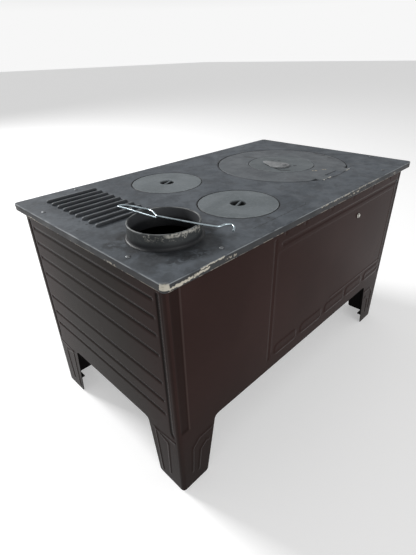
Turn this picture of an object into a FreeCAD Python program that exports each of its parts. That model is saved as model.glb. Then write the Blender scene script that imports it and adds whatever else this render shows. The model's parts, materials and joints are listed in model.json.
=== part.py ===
import FreeCAD, Part
import Sketcher
import math
import operator
import os
from types import SimpleNamespace

# Free-standing wood burning stove with a firebox, an oven and a cast iron cooking plate.
# Millimetres, +Z up. X runs along the stove: the fire end is at -X, the flue end at +X.
# The doors are at -Y. The origin is on the floor, under the middle of the whole stove.

DIMENSIONS = [
    ("plate_length", 880, "cooking plate along X"),
    ("plate_width", 507, "cooking plate along Y"),
    ("plate_thickness", 8, "cast thickness of the plate, ring and lids"),
    ("rim_height", 15, "height of the plate's turned down rim"),
    ("rim_thickness", 6, "thickness of that rim"),
    ("plate_corner", 9, "corner radius of the plate"),
    ("stove_height", 512, "floor to the top of the plate"),
    ("end_overhang", 12, "plate beyond the end panels"),
    ("side_overhang", 14.5, "plate beyond the front and back panels"),
    ("front_reach", 44, "handles beyond the front of the plate"),
    ("leg_height", 150, "floor to the bottom of the body"),
    ("corner_return", 12, "long panels' lap round the corners"),
    ("gauge", 1.5, "sheet steel of the panels"),
    ("corner_radius", 8, "rolled upright corners of the body"),
    ("flange_width", 20, "turned-in flanges of the panels"),
    ("groove_width", 8, "pressed grooves in the panels"),
    ("groove_depth", 0.7, "depth of the pressed grooves"),
    ("seat_gap", 0.3, "play under a loose casting"),
    ("seat_play", 1, "play around a ring or lid in its seat"),
    ("seat_ledge", 9, "ledge that carries a ring or lid"),
    ("seat_depth", 7, "height of the ledge casting"),
    ("ring_radius", 172.5, "large hinged ring"),
    ("ring_place_x", -196, "centre of the ring along X"),
    ("ring_place_y", -5, "centre of the ring along Y"),
    ("lid_radius", 84, "small lids over the oven"),
    ("lid_place_x", 124, "centre of the small lids along X"),
    ("lid_place_y", 114, "centre of the small lids from the middle"),
    ("centre_lid_radius", 88.5, "lid in the middle of the ring"),
    ("lifter_hole_radius", 17, "pocket for the lid lifter"),
    ("hinge_place_x", -199, "middle of the ring hinge along X"),
    ("hinge_place_y", 152, "ring hinge pin along Y"),
    ("hinge_half_width", 69, "ring hinge lugs, half the overall width"),
    ("hinge_tongue", 27, "half width of the tongue between the lugs"),
    ("hinge_pin_radius", 2.5, "ring hinge pin"),
    ("lug_reach", 11, "ring hinge lugs behind the pin"),
    ("lug_play", 1.5, "plate clear of the lugs behind them"),
    ("lug_start", 9.5, "ring is cut back beside the lugs from here, before the pin"),
    ("running_gap", 0.05, "radial clearance of a pin that turns"),
    ("collar_radius", 64.5, "outside of the flue collar"),
    ("collar_wall", 4, "wall of the flue collar"),
    ("collar_height", 28, "flue collar above the plate"),
    ("collar_foot", 5, "width and height of the ring round the collar's foot"),
    ("collar_place_x", 329, "flue collar along X"),
    ("collar_place_y", 124, "flue collar along Y"),
    ("rib_count", 9, "raised ribs beside the flue"),
    ("rib_pitch", 24.7, "rib to rib"),
    ("rib_start_y", -195, "first rib along Y"),
    ("rib_width", 9, "width of a rib"),
    ("rib_height", 5.5, "height of a rib"),
    ("rib_left_x", 271, "inner end of the ribs"),
    ("rib_right_x", 391, "outer end of the ribs"),
    ("screw_radius", 2, "plate screws"),
    ("screw_head_radius", 5, "heads of the plate screws"),
    ("screw_head_height", 2.6, "height of those heads"),
    ("end_screw_row", 146, "plate screws at the ends, from the middle"),
    ("side_screw_row", 303, "plate screws at the long edges, from the middle"),
    ("end_screw_inset", 18, "plate screws from the plate's ends"),
    ("side_screw_inset", 20.5, "plate screws from the plate's long edges"),
    ("lining_screw_radius", 2.5, "screw that holds the back lining"),
    ("drill_play", 0.2, "radial play of a screw in its drilled hole"),
    ("wire_radius", 1.6, "lid lifter wire"),
    ("fire_left_x", -404, "inside of the firebox, fire end"),
    ("fire_right_x", -90, "inside of the firebox, oven side"),
    ("fire_half_depth", 217, "inside of the firebox from the middle"),
    ("lining_thickness", 8, "cast lining plates"),
    ("lining_top", 470, "top of the lining plates"),
    ("floor_level", 245, "underside of the firebox floor"),
    ("drawer_middle_x", -250, "middle of the ash drawer and grate"),
    ("drawer_half_width", 92, "half width of the ash drawer"),
    ("drawer_low", 166, "underside of the ash drawer"),
    ("drawer_high", 232, "top of the ash drawer"),
    ("fuel_middle_x", -245, "middle of the fuel door"),
    ("fuel_middle_level", 355, "height of the middle of the fuel door"),
    ("fuel_half_width", 107, "fuel opening, half width"),
    ("fuel_half_height", 73, "fuel opening, half height"),
    ("oven_left_x", -50, "outside of the oven box, fire side"),
    ("oven_right_x", 390, "outside of the oven box, flue side"),
    ("oven_low", 204, "underside of the oven box"),
    ("oven_high", 430, "top of the oven box"),
    ("oven_back_y", 190, "back of the oven box"),
    ("door_axis_y", -252, "hinge line of the oven door along Y"),
    ("door_axis_level", 200, "height of that hinge line"),
]

LATCH_ANGLE = 50          # degrees that the fuel door latch is turned up when it is open

doc = FreeCAD.newDocument("wood_burning_stove")
sheet = doc.addObject("Spreadsheet::Sheet", "sizes")


# ---------------------------------------------------------------- sizes that stay bound to the sheet

class Size:
    """A length that knows its value and the sheet expression that it comes from."""

    def __init__(self, value, text):
        self.value = float(value)
        self.text = text

    def __add__(self, other):
        return joined(self, "+", other, operator.add)

    def __radd__(self, other):
        return joined(other, "+", self, operator.add)

    def __sub__(self, other):
        return joined(self, "-", other, operator.sub)

    def __rsub__(self, other):
        return joined(other, "-", self, operator.sub)

    def __mul__(self, other):
        return joined(self, "*", other, operator.mul)

    def __rmul__(self, other):
        return joined(other, "*", self, operator.mul)

    def __truediv__(self, other):
        return joined(self, "/", other, operator.truediv)

    def __neg__(self):
        return joined(0, "-", self, operator.sub)


def as_size(number):
    return number if isinstance(number, Size) else Size(number, "(%s)" % number)


def joined(left, sign, right, operation):
    left = as_size(left)
    right = as_size(right)
    return Size(operation(left.value, right.value), "(%s %s %s)" % (left.text, sign, right.text))


def fill_sheet():
    """Write the driving dimensions and give each cell its alias."""
    cells = SimpleNamespace()
    for row, (name, value, words) in enumerate(DIMENSIONS, start=1):
        sheet.set("A%d" % row, words)
        sheet.set("B%d" % row, str(value))
        sheet.setAlias("B%d" % row, name)
        setattr(cells, name, Size(value, "sizes." + name))
    doc.recompute()
    return cells


dim = fill_sheet()

face_x = dim.plate_length / 2 - dim.end_overhang          # outer face of the end panels
face_y = dim.plate_width / 2 - dim.side_overhang          # outer face of the long panels
shift_y = dim.front_reach / 2                             # centres the stove with its handles
plate_under = dim.stove_height - dim.plate_thickness      # underside of the cooking plate
base_level = dim.leg_height + dim.gauge                   # top of the bottom flanges
inside_x = face_x - dim.gauge
inside_y = face_y - dim.gauge


def ordered(near, far):
    """The two sizes with the lower one first."""
    return sorted([as_size(near), as_size(far)], key=lambda size: size.value)


def bind(thing, prop, size):
    """Set a property and bind it to the sheet."""
    size = as_size(size)
    if "." not in prop:
        setattr(thing, prop, size.value)
    thing.setExpression(prop, size.text)


def place(thing, x, y, z, rotation=None):
    """Put a piece where it belongs. Y counts from the middle of the cooking plate."""
    spots = [as_size(x), as_size(y) + shift_y, as_size(z)]
    base = FreeCAD.Vector(*[spot.value for spot in spots])
    thing.Placement = FreeCAD.Placement(base, rotation or FreeCAD.Rotation())
    for axis, spot in zip("xyz", spots):
        bind(thing, "Placement.Base." + axis, spot)


# ---------------------------------------------------------------- primitives and booleans

def block(name, x, y, z):
    """A box between the given pairs of X, Y and Z."""
    box = doc.addObject("Part::Box", name)
    for prop, pair in zip(("Length", "Width", "Height"), (x, y, z)):
        bind(box, prop, as_size(pair[1]) - pair[0])
    place(box, x[0], y[0], z[0])
    return box


TURNS = {
    "x": FreeCAD.Rotation(FreeCAD.Vector(0, 1, 0), 90),
    "y": FreeCAD.Rotation(FreeCAD.Vector(1, 0, 0), -90),
    "z": FreeCAD.Rotation(),
}


def rod(name, radius, along, start, length):
    """A cylinder along X, Y or Z from the point start."""
    cylinder = doc.addObject("Part::Cylinder", name)
    bind(cylinder, "Radius", radius)
    bind(cylinder, "Height", length)
    place(cylinder, *start, TURNS[along])
    return cylinder


def hexagon(name, corner_radius, height):
    """A plain nut before it is drilled."""
    prism = doc.addObject("Part::Prism", name)
    prism.Polygon = 6
    prism.Circumradius = corner_radius
    prism.Height = height
    return prism


def fuse(name, pieces):
    union = doc.addObject("Part::MultiFuse", name)
    union.Shapes = pieces
    union.Refine = True
    return union


def group(name, pieces):
    """Identical pieces that stay separate solids."""
    compound = doc.addObject("Part::Compound", name)
    compound.Links = pieces
    return compound


def cut(name, base, tools):
    difference = doc.addObject("Part::Cut", name)
    difference.Base = base
    difference.Tool = tools[0] if len(tools) == 1 else group(name + "_tools", tools)
    difference.Refine = True
    return difference


def edge_numbers(shape, wanted):
    return [i for i, edge in enumerate(shape.Edges, start=1) if wanted(edge)]


def is_upright(edge):
    ends = [vertex.Point for vertex in edge.Vertexes]
    return len(ends) == 2 and math.hypot(ends[0].x - ends[1].x, ends[0].y - ends[1].y) < 1e-6


def rounded(name, base, wanted, radius):
    """Round the wanted edges of a primitive or boolean."""
    doc.recompute()
    soft = doc.addObject("Part::Fillet", name)
    soft.Base = base
    radius = as_size(radius).value
    soft.Edges = [(number, radius, radius) for number in edge_numbers(base.Shape, wanted)]
    return soft


# ---------------------------------------------------------------- bodies with sketches and features

def new_body(name, x=0, y=0, z=0):
    body = doc.addObject("PartDesign::Body", name)
    place(body, x, y, z)
    return body


def new_sketch(body, role, offset=0):
    """A sketch on one of the body's own origin planes, moved along its normal."""
    plane = [item for item in body.Origin.OriginFeatures if item.Role == role][0]
    sketch = body.newObject("Sketcher::SketchObject", body.Name + "_sketch")
    sketch.AttachmentSupport = [(plane, "")]
    sketch.MapMode = "FlatFace"
    offset = as_size(offset)
    sketch.AttachmentOffset = FreeCAD.Placement(FreeCAD.Vector(0, 0, offset.value), FreeCAD.Rotation())
    bind(sketch, "AttachmentOffset.Base.z", offset)
    return sketch


def tie(sketch, number, spot, x, y):
    """Fix one point of the sketch at x, y from its origin."""
    for kind, size in (("DistanceX", as_size(x)), ("DistanceY", as_size(y))):
        index = sketch.addConstraint(Sketcher.Constraint(kind, -1, 1, number, spot, size.value))
        sketch.setExpression("Constraints[%d]" % index, size.text)


def outline(sketch, points):
    """A closed outline of straight lines through the points."""
    spots = [(as_size(x), as_size(y)) for x, y in points]
    first = sketch.GeometryCount
    total = len(spots)
    for i, (x, y) in enumerate(spots):
        next_x, next_y = spots[(i + 1) % total]
        start = FreeCAD.Vector(x.value, y.value, 0)
        end = FreeCAD.Vector(next_x.value, next_y.value, 0)
        sketch.addGeometry(Part.LineSegment(start, end), False)
    for i in range(total):
        sketch.addConstraint(Sketcher.Constraint("Coincident", first + i, 2, first + (i + 1) % total, 1))
        tie(sketch, first + i, 1, *spots[i])


def rectangle(sketch, x, y):
    outline(sketch, [(x[0], y[0]), (x[1], y[0]), (x[1], y[1]), (x[0], y[1])])


def circle(sketch, x, y, radius):
    x, y, radius = as_size(x), as_size(y), as_size(radius)
    centre = FreeCAD.Vector(x.value, y.value, 0)
    number = sketch.addGeometry(Part.Circle(centre, FreeCAD.Vector(0, 0, 1), radius.value), False)
    index = sketch.addConstraint(Sketcher.Constraint("Radius", number, radius.value))
    sketch.setExpression("Constraints[%d]" % index, radius.text)
    tie(sketch, number, 3, x, y)


def add_feature(body, kind, sketch, length, reverse=False, both_ways=False):
    feature = body.newObject("PartDesign::" + kind, body.Name + "_" + kind.lower())
    feature.Profile = sketch
    bind(feature, "Length", length)
    feature.Reversed = reverse
    feature.Midplane = both_ways
    body.Tip = feature
    return feature


def pad(body, sketch, length, reverse=False):
    return add_feature(body, "Pad", sketch, length, reverse)


def pocket(body, sketch, length, reverse=False, both_ways=False):
    """Cut the sketch out of the body, and make sure that it removes something."""
    doc.recompute()
    before = body.Shape.Volume
    feature = add_feature(body, "Pocket", sketch, length, reverse, both_ways)
    doc.recompute()
    if not body.Shape.Volume < before:
        raise ValueError("the pocket in %s cuts nothing" % body.Name)
    return feature


def revolve(body, sketch):
    feature = body.newObject("PartDesign::Revolution", body.Name + "_revolution")
    feature.Profile = sketch
    feature.ReferenceAxis = (sketch, ["V_Axis"])
    feature.Angle = 360
    body.Tip = feature
    return feature


def repeat(body, feature, sketch, axis, length, count):
    """Repeat a feature in a straight row."""
    pattern = body.newObject("PartDesign::LinearPattern", body.Name + "_row")
    pattern.Originals = [feature]
    pattern.Direction = (sketch, [axis])
    bind(pattern, "Length", length)
    pattern.Occurrences = count
    body.Tip = pattern
    return pattern


def soften(body, wanted, radius):
    """Fillet the wanted edges of the body as it stands."""
    doc.recompute()
    base = body.Tip
    names = ["Edge%d" % number for number in edge_numbers(base.Shape, wanted)]
    feature = body.newObject("PartDesign::Fillet", body.Name + "_fillet")
    feature.Base = (base, names)
    bind(feature, "Radius", radius)
    body.Tip = feature
    return feature


# ---------------------------------------------------------------- cooking plate, ring and lids

def seat_openings():
    """Centre and radius of each round opening in the cooking plate."""
    return [
        (dim.ring_place_x, dim.ring_place_y, dim.ring_radius),
        (dim.lid_place_x, dim.lid_place_y, dim.lid_radius),
        (dim.lid_place_x, -dim.lid_place_y, dim.lid_radius),
    ]


def screw_places():
    """The eight screws that hold the cooking plate down on the panel flanges."""
    far_x = dim.plate_length / 2 - dim.end_screw_inset
    far_y = dim.plate_width / 2 - dim.side_screw_inset
    ends = [(far_x * side, dim.end_screw_row * row) for side in (1, -1) for row in (1, -1)]
    sides = [(dim.side_screw_row * along, far_y * side) for along in (1, -1) for side in (1, -1)]
    return ends + sides


def make_top_plate():
    body = new_body("top_plate")
    half_length = dim.plate_length / 2
    half_width = dim.plate_width / 2
    slab = new_sketch(body, "XY_Plane", dim.stove_height - dim.rim_height)
    rectangle(slab, (-half_length, half_length), (-half_width, half_width))
    pad(body, slab, dim.rim_height)
    soften(body, is_upright, dim.plate_corner)
    hollow = new_sketch(body, "XY_Plane", dim.stove_height - dim.rim_height)
    inner_x = half_length - dim.rim_thickness
    inner_y = half_width - dim.rim_thickness
    rectangle(hollow, (-inner_x, inner_x), (-inner_y, inner_y))
    pocket(body, hollow, dim.rim_height - dim.plate_thickness, reverse=True)
    for x, y, radius in seat_openings():
        ledge = new_sketch(body, "XY_Plane", plate_under)
        circle(ledge, x, y, radius + dim.seat_ledge)
        pad(body, ledge, dim.seat_depth, reverse=True)
    rib = new_sketch(body, "XY_Plane", plate_under)
    rectangle(rib, (dim.rib_left_x, dim.rib_right_x),
              (dim.rib_start_y - dim.rib_width / 2, dim.rib_start_y + dim.rib_width / 2))
    first_rib = pad(body, rib, dim.plate_thickness + dim.rib_height)
    doc.recompute()
    repeat(body, first_rib, rib, "V_Axis", (dim.rib_count - 1) * dim.rib_pitch, int(dim.rib_count.value))
    openings = new_sketch(body, "XY_Plane", dim.stove_height)
    for x, y, radius in seat_openings():
        circle(openings, x, y, radius + dim.seat_play)
    pocket(body, openings, dim.plate_thickness)
    throats = new_sketch(body, "XY_Plane", dim.stove_height)
    for x, y, radius in seat_openings():
        circle(throats, x, y, radius - dim.seat_ledge)
    circle(throats, dim.collar_place_x, dim.collar_place_y, dim.collar_radius)
    for x, y in screw_places():
        circle(throats, x, y, dim.screw_radius + dim.drill_play)
    pocket(body, throats, 2 * dim.rim_height)
    cut_hinge_pocket(body)
    return body


def make_flue_collar():
    """The collar for the stove pipe: a tube with a foot ring, cast into the plate's round hole."""
    x, y = dim.collar_place_x, dim.collar_place_y
    tube = rod("collar_tube", dim.collar_radius, "z", (x, y, plate_under),
               dim.plate_thickness + dim.collar_height)
    foot = rod("collar_foot", dim.collar_radius + dim.collar_foot, "z", (x, y, dim.stove_height),
               dim.collar_foot)
    bore = rod("collar_bore", dim.collar_radius - dim.collar_wall, "z", (x, y, plate_under - 1),
               dim.plate_thickness + dim.collar_height + 2)
    return cut("flue_collar", fuse("collar_blank", [tube, foot]), [bore])


def cut_hinge_pocket(body):
    """Open the plate behind the ring for the hinge lugs, and add a bored tongue between them."""
    pockets = new_sketch(body, "XY_Plane", dim.stove_height)
    inside_ring = dim.ring_place_y + dim.ring_radius - 45
    for side in (-1, 1):
        edges = ordered(dim.hinge_place_x + side * (dim.hinge_tongue + dim.seat_play),
                        dim.hinge_place_x + side * (dim.hinge_half_width + dim.seat_play))
        rectangle(pockets, edges, (inside_ring, dim.hinge_place_y + dim.lug_reach + dim.lug_play))
    pocket(body, pockets, dim.plate_thickness + dim.seat_depth)
    tongue = new_sketch(body, "XY_Plane", plate_under)
    tongue_front = dim.hinge_place_y - 6.5
    tongue_root = dim.ring_place_y + dim.ring_radius + 6
    rectangle(tongue, (dim.hinge_place_x - dim.hinge_tongue, dim.hinge_place_x + dim.hinge_tongue),
              (tongue_front, tongue_root))
    pad(body, tongue, dim.plate_thickness)
    bore = new_sketch(body, "YZ_Plane", dim.hinge_place_x)
    circle(bore, dim.hinge_place_y, dim.stove_height - dim.plate_thickness / 2, dim.hinge_pin_radius)
    pocket(body, bore, 2 * dim.hinge_half_width + 2, both_ways=True)


def make_large_ring():
    body = new_body("large_ring")
    low = plate_under + dim.seat_gap
    inside_ring = dim.ring_place_y + dim.centre_lid_radius + 31.5
    far_back = dim.hinge_place_y + 60
    disc = new_sketch(body, "XY_Plane", low)
    circle(disc, dim.ring_place_x, dim.ring_place_y, dim.ring_radius)
    pad(body, disc, dim.stove_height - low)
    lugs = new_sketch(body, "XY_Plane", low)
    rectangle(lugs, (dim.hinge_place_x - dim.hinge_half_width, dim.hinge_place_x + dim.hinge_half_width),
              (inside_ring, dim.hinge_place_y + dim.lug_reach))
    pad(body, lugs, dim.stove_height - low)
    boss = new_sketch(body, "XY_Plane", low)
    circle(boss, dim.ring_place_x, dim.ring_place_y, dim.centre_lid_radius + dim.seat_ledge)
    pad(body, boss, dim.seat_depth - 1, reverse=True)
    back_edge = new_sketch(body, "XY_Plane", dim.stove_height)
    rectangle(back_edge, (dim.hinge_place_x - dim.ring_radius, dim.hinge_place_x + dim.ring_radius),
              (dim.hinge_place_y + dim.lug_reach, far_back))
    pocket(body, back_edge, dim.plate_thickness)
    relief = new_sketch(body, "XY_Plane", dim.stove_height)
    for side in (-1, 1):
        beside = ordered(dim.hinge_place_x + side * dim.hinge_half_width,
                         dim.hinge_place_x + side * dim.ring_radius)
        rectangle(relief, beside, (dim.hinge_place_y - dim.lug_start, far_back))
    pocket(body, relief, dim.plate_thickness)
    notch = new_sketch(body, "XY_Plane", dim.stove_height)
    notch_half = dim.hinge_tongue + dim.seat_play
    rectangle(notch, (dim.hinge_place_x - notch_half, dim.hinge_place_x + notch_half),
              (dim.hinge_place_y - 8.5, far_back))
    pocket(body, notch, dim.plate_thickness)
    seat = new_sketch(body, "XY_Plane", dim.stove_height)
    circle(seat, dim.ring_place_x, dim.ring_place_y, dim.centre_lid_radius + dim.seat_play)
    pocket(body, seat, dim.plate_thickness)
    throat = new_sketch(body, "XY_Plane", dim.stove_height)
    circle(throat, dim.ring_place_x, dim.ring_place_y, dim.centre_lid_radius - dim.seat_ledge)
    pocket(body, throat, 3 * dim.plate_thickness)
    bore = new_sketch(body, "YZ_Plane", dim.hinge_place_x)
    circle(bore, dim.hinge_place_y, dim.stove_height - dim.plate_thickness / 2,
           dim.hinge_pin_radius + dim.running_gap)
    pocket(body, bore, 2 * dim.hinge_half_width + 2, both_ways=True)
    return body


def make_ring_pin():
    length = 2 * dim.hinge_half_width - 2
    start = (dim.hinge_place_x - length / 2, dim.hinge_place_y, dim.stove_height - dim.plate_thickness / 2)
    return rod("ring_hinge_pin", dim.hinge_pin_radius, "x", start, length)


BAR_HEADING = 22          # degrees from X of the bar in a lid's pocket


def make_small_lid(name, side):
    """A round lid turned from one profile, with a barred pocket for the lifter."""
    body = new_body(name, dim.lid_place_x, side * dim.lid_place_y, plate_under)
    low = dim.seat_gap
    cup_wall = 4
    profile = new_sketch(body, "XZ_Plane")
    pocket_floor = dim.plate_thickness - 11
    cup_under = pocket_floor - 3
    outline(profile, [
        (0, cup_under), (dim.lifter_hole_radius + cup_wall, cup_under),
        (dim.lifter_hole_radius + cup_wall, low), (dim.lid_radius, low),
        (dim.lid_radius, dim.plate_thickness), (dim.lifter_hole_radius, dim.plate_thickness),
        (dim.lifter_hole_radius, pocket_floor), (0, pocket_floor),
    ])
    revolve(body, profile)
    bar = new_sketch(body, "XY_Plane", dim.plate_thickness - 1)
    half_bar = 2.5
    bar_depth = 4
    reach = dim.lifter_hole_radius + 1
    direction = math.radians(BAR_HEADING)
    across = (-math.sin(direction), math.cos(direction))
    ends = [(reach * along * math.cos(direction) + half_bar * wide * across[0],
             reach * along * math.sin(direction) + half_bar * wide * across[1])
            for along, wide in ((-1, -1), (1, -1), (1, 1), (-1, 1))]
    outline(bar, ends)
    pad(body, bar, bar_depth, reverse=True)
    return body


COVER_PIVOT = (16, 21)        # from the centre of the lid
COVER_HEAD = (22, 9, 30)      # centre and radius of the wide end
COVER_TAIL = (15, -44, 10)    # centre and radius of the finger end
COVER_THICKNESS = 3
RIVET_RADIUS = 4


def make_centre_lid():
    """The lid in the ring: a flat disc with a draught slot and a hole for the cover's rivet."""
    body = new_body("centre_lid", dim.ring_place_x, dim.ring_place_y, plate_under)
    low = 2 * dim.seat_gap
    disc = new_sketch(body, "XY_Plane", low)
    circle(disc, 0, 0, dim.centre_lid_radius)
    pad(body, disc, dim.plate_thickness - low)
    holes = new_sketch(body, "XY_Plane", dim.plate_thickness)
    circle(holes, *COVER_PIVOT, RIVET_RADIUS)
    rectangle(holes, (14, 42), (-14, 8))
    pocket(body, holes, dim.plate_thickness)
    return body


def make_swivel_cover():
    """Flat cover of two rounded ends joined by straight sides, on top of the centre lid."""
    low = dim.stove_height + dim.seat_gap
    pivot_x = dim.ring_place_x + COVER_PIVOT[0]
    pivot_y = dim.ring_place_y + COVER_PIVOT[1]
    ends = [rod("cover_end", radius, "z", (dim.ring_place_x + x, dim.ring_place_y + y, low), COVER_THICKNESS)
            for x, y, radius in (COVER_HEAD, COVER_TAIL)]
    body = new_body("cover_web", dim.ring_place_x, dim.ring_place_y, low)
    sketch = new_sketch(body, "XY_Plane")
    run_x = COVER_TAIL[0] - COVER_HEAD[0]
    run_y = COVER_TAIL[1] - COVER_HEAD[1]
    run = math.hypot(run_x, run_y)
    heading = math.atan2(run_y, run_x)
    lean = math.acos((COVER_HEAD[2] - COVER_TAIL[2]) / run)
    corners = []
    for turn in (lean, -lean):
        pair = [(x + radius * math.cos(heading + turn), y + radius * math.sin(heading + turn))
                for x, y, radius in (COVER_HEAD, COVER_TAIL)]
        corners += pair if turn > 0 else pair[::-1]
    outline(sketch, corners)
    pad(body, sketch, COVER_THICKNESS)
    whole = fuse("cover_blank", ends + [body])
    hole = rod("cover_hole", RIVET_RADIUS + dim.running_gap, "z", (pivot_x, pivot_y, low - 1),
               COVER_THICKNESS + 2)
    return cut("swivel_cover", whole, [hole])


def make_cover_rivet():
    pivot_x = dim.ring_place_x + COVER_PIVOT[0]
    pivot_y = dim.ring_place_y + COVER_PIVOT[1]
    low = plate_under - 2
    head_low = dim.stove_height + COVER_THICKNESS + 2 * dim.seat_gap
    shank = rod("rivet_shank", RIVET_RADIUS, "z", (pivot_x, pivot_y, low), head_low + 0.4 - low)
    head = rod("rivet_head", 6.5, "z", (pivot_x, pivot_y, head_low), 2.5)
    tail = rod("rivet_tail", 6, "z", (pivot_x, pivot_y, low), 2 + 2 * dim.seat_gap - 0.2)
    return fuse("cover_rivet", [shank, head, tail])


def make_screws():
    """Round-headed screws through the plate and the panel flanges, and the nuts under them."""
    screws = []
    nuts = []
    below_plate = 12
    nut_height = 4
    nut_low = plate_under - dim.gauge - nut_height
    for x, y in screw_places():
        head = rod("screw_head", dim.screw_head_radius, "z", (x, y, dim.stove_height), dim.screw_head_height)
        shank = rod("screw_shank", dim.screw_radius, "z", (x, y, plate_under - below_plate),
                    dim.plate_thickness + below_plate)
        screws.append(fuse("plate_screw", [head, shank]))
        nut = hexagon("nut_blank", 4, nut_height)
        place(nut, x, y, nut_low)
        hole = rod("nut_hole", dim.screw_radius, "z", (x, y, nut_low - 1), nut_height + 2)
        nuts.append(cut("plate_nut", nut, [hole]))
    return [group("top_screws", screws), group("top_nuts", nuts)]


# ---------------------------------------------------------------- the wire lid lifter

LIFTER_ROUTE = [        # from the collar's centre, and up from the wire's own height on the rim
    (6, -12, 0), (13.5, -90, 0), (17.5, -109, 0), (12, -114, 0), (4, -106, 0), (-1.5, -90, 0),
    (-10.5, -50, 0), (-7, -36, 0), (0.5, -19, 0), (-2.5, -8, 0), (-23, 64, 0), (-35, 95, 0),
    (-50, 95, 0), (-57.5, 103, 0), (-53, 113, -1), (-45, 117, -4),
]


def bent_wire(points, share=0.42):
    """Straight runs joined by tangent arcs through a list of points."""
    vectors = [FreeCAD.Vector(*point) for point in points]
    edges = []
    start = vectors[0]
    for before, corner, after in zip(vectors, vectors[1:], vectors[2:]):
        back = (before - corner).normalize()
        ahead = (after - corner).normalize()
        cut_back = share * min((before - corner).Length, (after - corner).Length)
        arc_start = corner + back * cut_back
        arc_end = corner + ahead * cut_back
        half = back.getAngle(ahead) / 2
        radius = cut_back * math.tan(half)
        bisector = (back + ahead).normalize()
        middle = corner + bisector * (radius / math.sin(half) - radius)
        edges.append(Part.LineSegment(start, arc_start).toShape())
        edges.append(Part.Arc(arc_start, middle, arc_end).toShape())
        start = arc_end
    edges.append(Part.LineSegment(start, vectors[-1]).toShape())
    return Part.Wire(edges)


def make_lid_lifter():
    """A bent wire: only a free sweep in space describes it."""
    route = bent_wire(LIFTER_ROUTE)
    start = route.Edges[0].valueAt(route.Edges[0].FirstParameter)
    heading = route.Edges[0].tangentAt(route.Edges[0].FirstParameter)
    section = Part.Wire([Part.makeCircle(dim.wire_radius.value, start, heading)])
    shape = route.makePipeShell([section], True, True)
    expected = math.pi * dim.wire_radius.value ** 2 * route.Length
    if abs(shape.Volume - expected) > 0.02 * expected:
        raise ValueError("the lifter's sweep has the wrong volume")
    lifter = doc.addObject("Part::Feature", "lid_lifter")
    lifter.Shape = shape
    place(lifter, dim.collar_place_x, dim.collar_place_y,
          dim.stove_height + dim.collar_height + dim.wire_radius + dim.seat_gap)
    return lifter


# ---------------------------------------------------------------- enamelled panels

BEND_STEPS = [math.radians(step) for step in (0, 30, 60, 90)]     # facets inside a rolled corner


def make_long_panel(name, side, windows=()):
    """Front or back wall in one pressing: legs, rolled corners, flanges and pressed grooves."""
    body = new_body(name)
    edge = face_y - dim.corner_return

    def span(near, far):
        return ordered(side * near, side * far)

    blank = new_sketch(body, "XY_Plane")
    rectangle(blank, (-face_x, face_x), span(edge, face_y))
    pad(body, blank, plate_under)
    outer = face_y.value

    def is_outer_corner(line):
        return is_upright(line) and abs(abs(line.Vertexes[0].Point.y) - outer) < 1e-6

    soften(body, is_outer_corner, dim.corner_radius)
    leg_foot = 358            # inner edge of each leg on the floor
    leg_root = 331            # and where it meets the body
    hollow = new_sketch(body, "XY_Plane", plate_under)
    bend = dim.corner_radius - dim.gauge
    right = [(inside_x - bend * (1 - math.cos(angle)), side * (inside_y - bend * (1 - math.sin(angle))))
             for angle in BEND_STEPS]
    left = [(-x, y) for x, y in reversed(right)]
    outline(hollow, [(-inside_x, side * (edge - 5)), (inside_x, side * (edge - 5))] + right + left)
    pocket(body, hollow, plate_under)
    top_flange = new_sketch(body, "XY_Plane", plate_under)
    reach_x = face_x - dim.corner_radius - 22
    rectangle(top_flange, (-reach_x, reach_x), span(face_y - dim.flange_width - 6, inside_y + 0.5))
    pad(body, top_flange, dim.gauge, reverse=True)
    low_flange = new_sketch(body, "XY_Plane", dim.leg_height)
    rectangle(low_flange, (-leg_root + 11, leg_root - 11), span(face_y - dim.flange_width, inside_y + 0.5))
    pad(body, low_flange, dim.gauge)
    leg_gap = new_sketch(body, "XZ_Plane")
    outline(leg_gap, [(-leg_foot, -1), (leg_foot, -1), (leg_root, dim.leg_height),
                      (-leg_root, dim.leg_height)])
    pocket(body, leg_gap, 2 * dim.plate_width, both_ways=True)
    for x, z in windows:
        opening = new_sketch(body, "XZ_Plane")
        rectangle(opening, x, z)
        pocket(body, opening, 2 * dim.plate_width, both_ways=True)
    press_long_grooves(body, side, bool(windows))
    drill_flange(body, long_screws(side))
    return body


def long_screws(side):
    return [(x, y) for x, y in screw_places() if as_size(y).value * side > 200]


def end_screws(side):
    return [(x, y) for x, y in screw_places() if as_size(x).value * side > 400]


def drill_flange(body, spots):
    """Clearance holes for the plate screws."""
    holes = new_sketch(body, "XY_Plane", plate_under + 1)
    for x, y in spots:
        circle(holes, x, y, dim.screw_radius + dim.drill_play)
    pocket(body, holes, 5)


def press_long_grooves(body, side, is_front):
    """Shallow grooves in the outer face: beside the corners, and two more across the back."""
    half = dim.groove_width / 2
    corner_groove = 410
    field_groove = 159
    strips = [((mark * corner_groove - half, mark * corner_groove + half), (175, 485)) for mark in (-1, 1)]
    if not is_front:
        strips.append(((field_groove - half, field_groove + half), (178, 481)))
        strips.append(((-398, 140), (457, 467)))
    grooves = new_sketch(body, "XZ_Plane", -side * face_y)
    for x, z in strips:
        rectangle(grooves, x, z)
    pocket(body, grooves, dim.groove_depth, reverse=side > 0)


LINING_SCREW = (-187.5, 425)       # X and height of the screw through the back panel


def make_back_panel():
    """The back wall, with the clearance hole of the lining's screw."""
    body = make_long_panel("back_panel", 1)
    hole = new_sketch(body, "XZ_Plane", -face_y)
    circle(hole, *LINING_SCREW, dim.lining_screw_radius + dim.drill_play)
    pocket(body, hole, 2 * dim.gauge, reverse=True)
    return body


END_GROOVE_LEVELS = (209, 243.5, 288, 351, 393, 428, 463)


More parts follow.
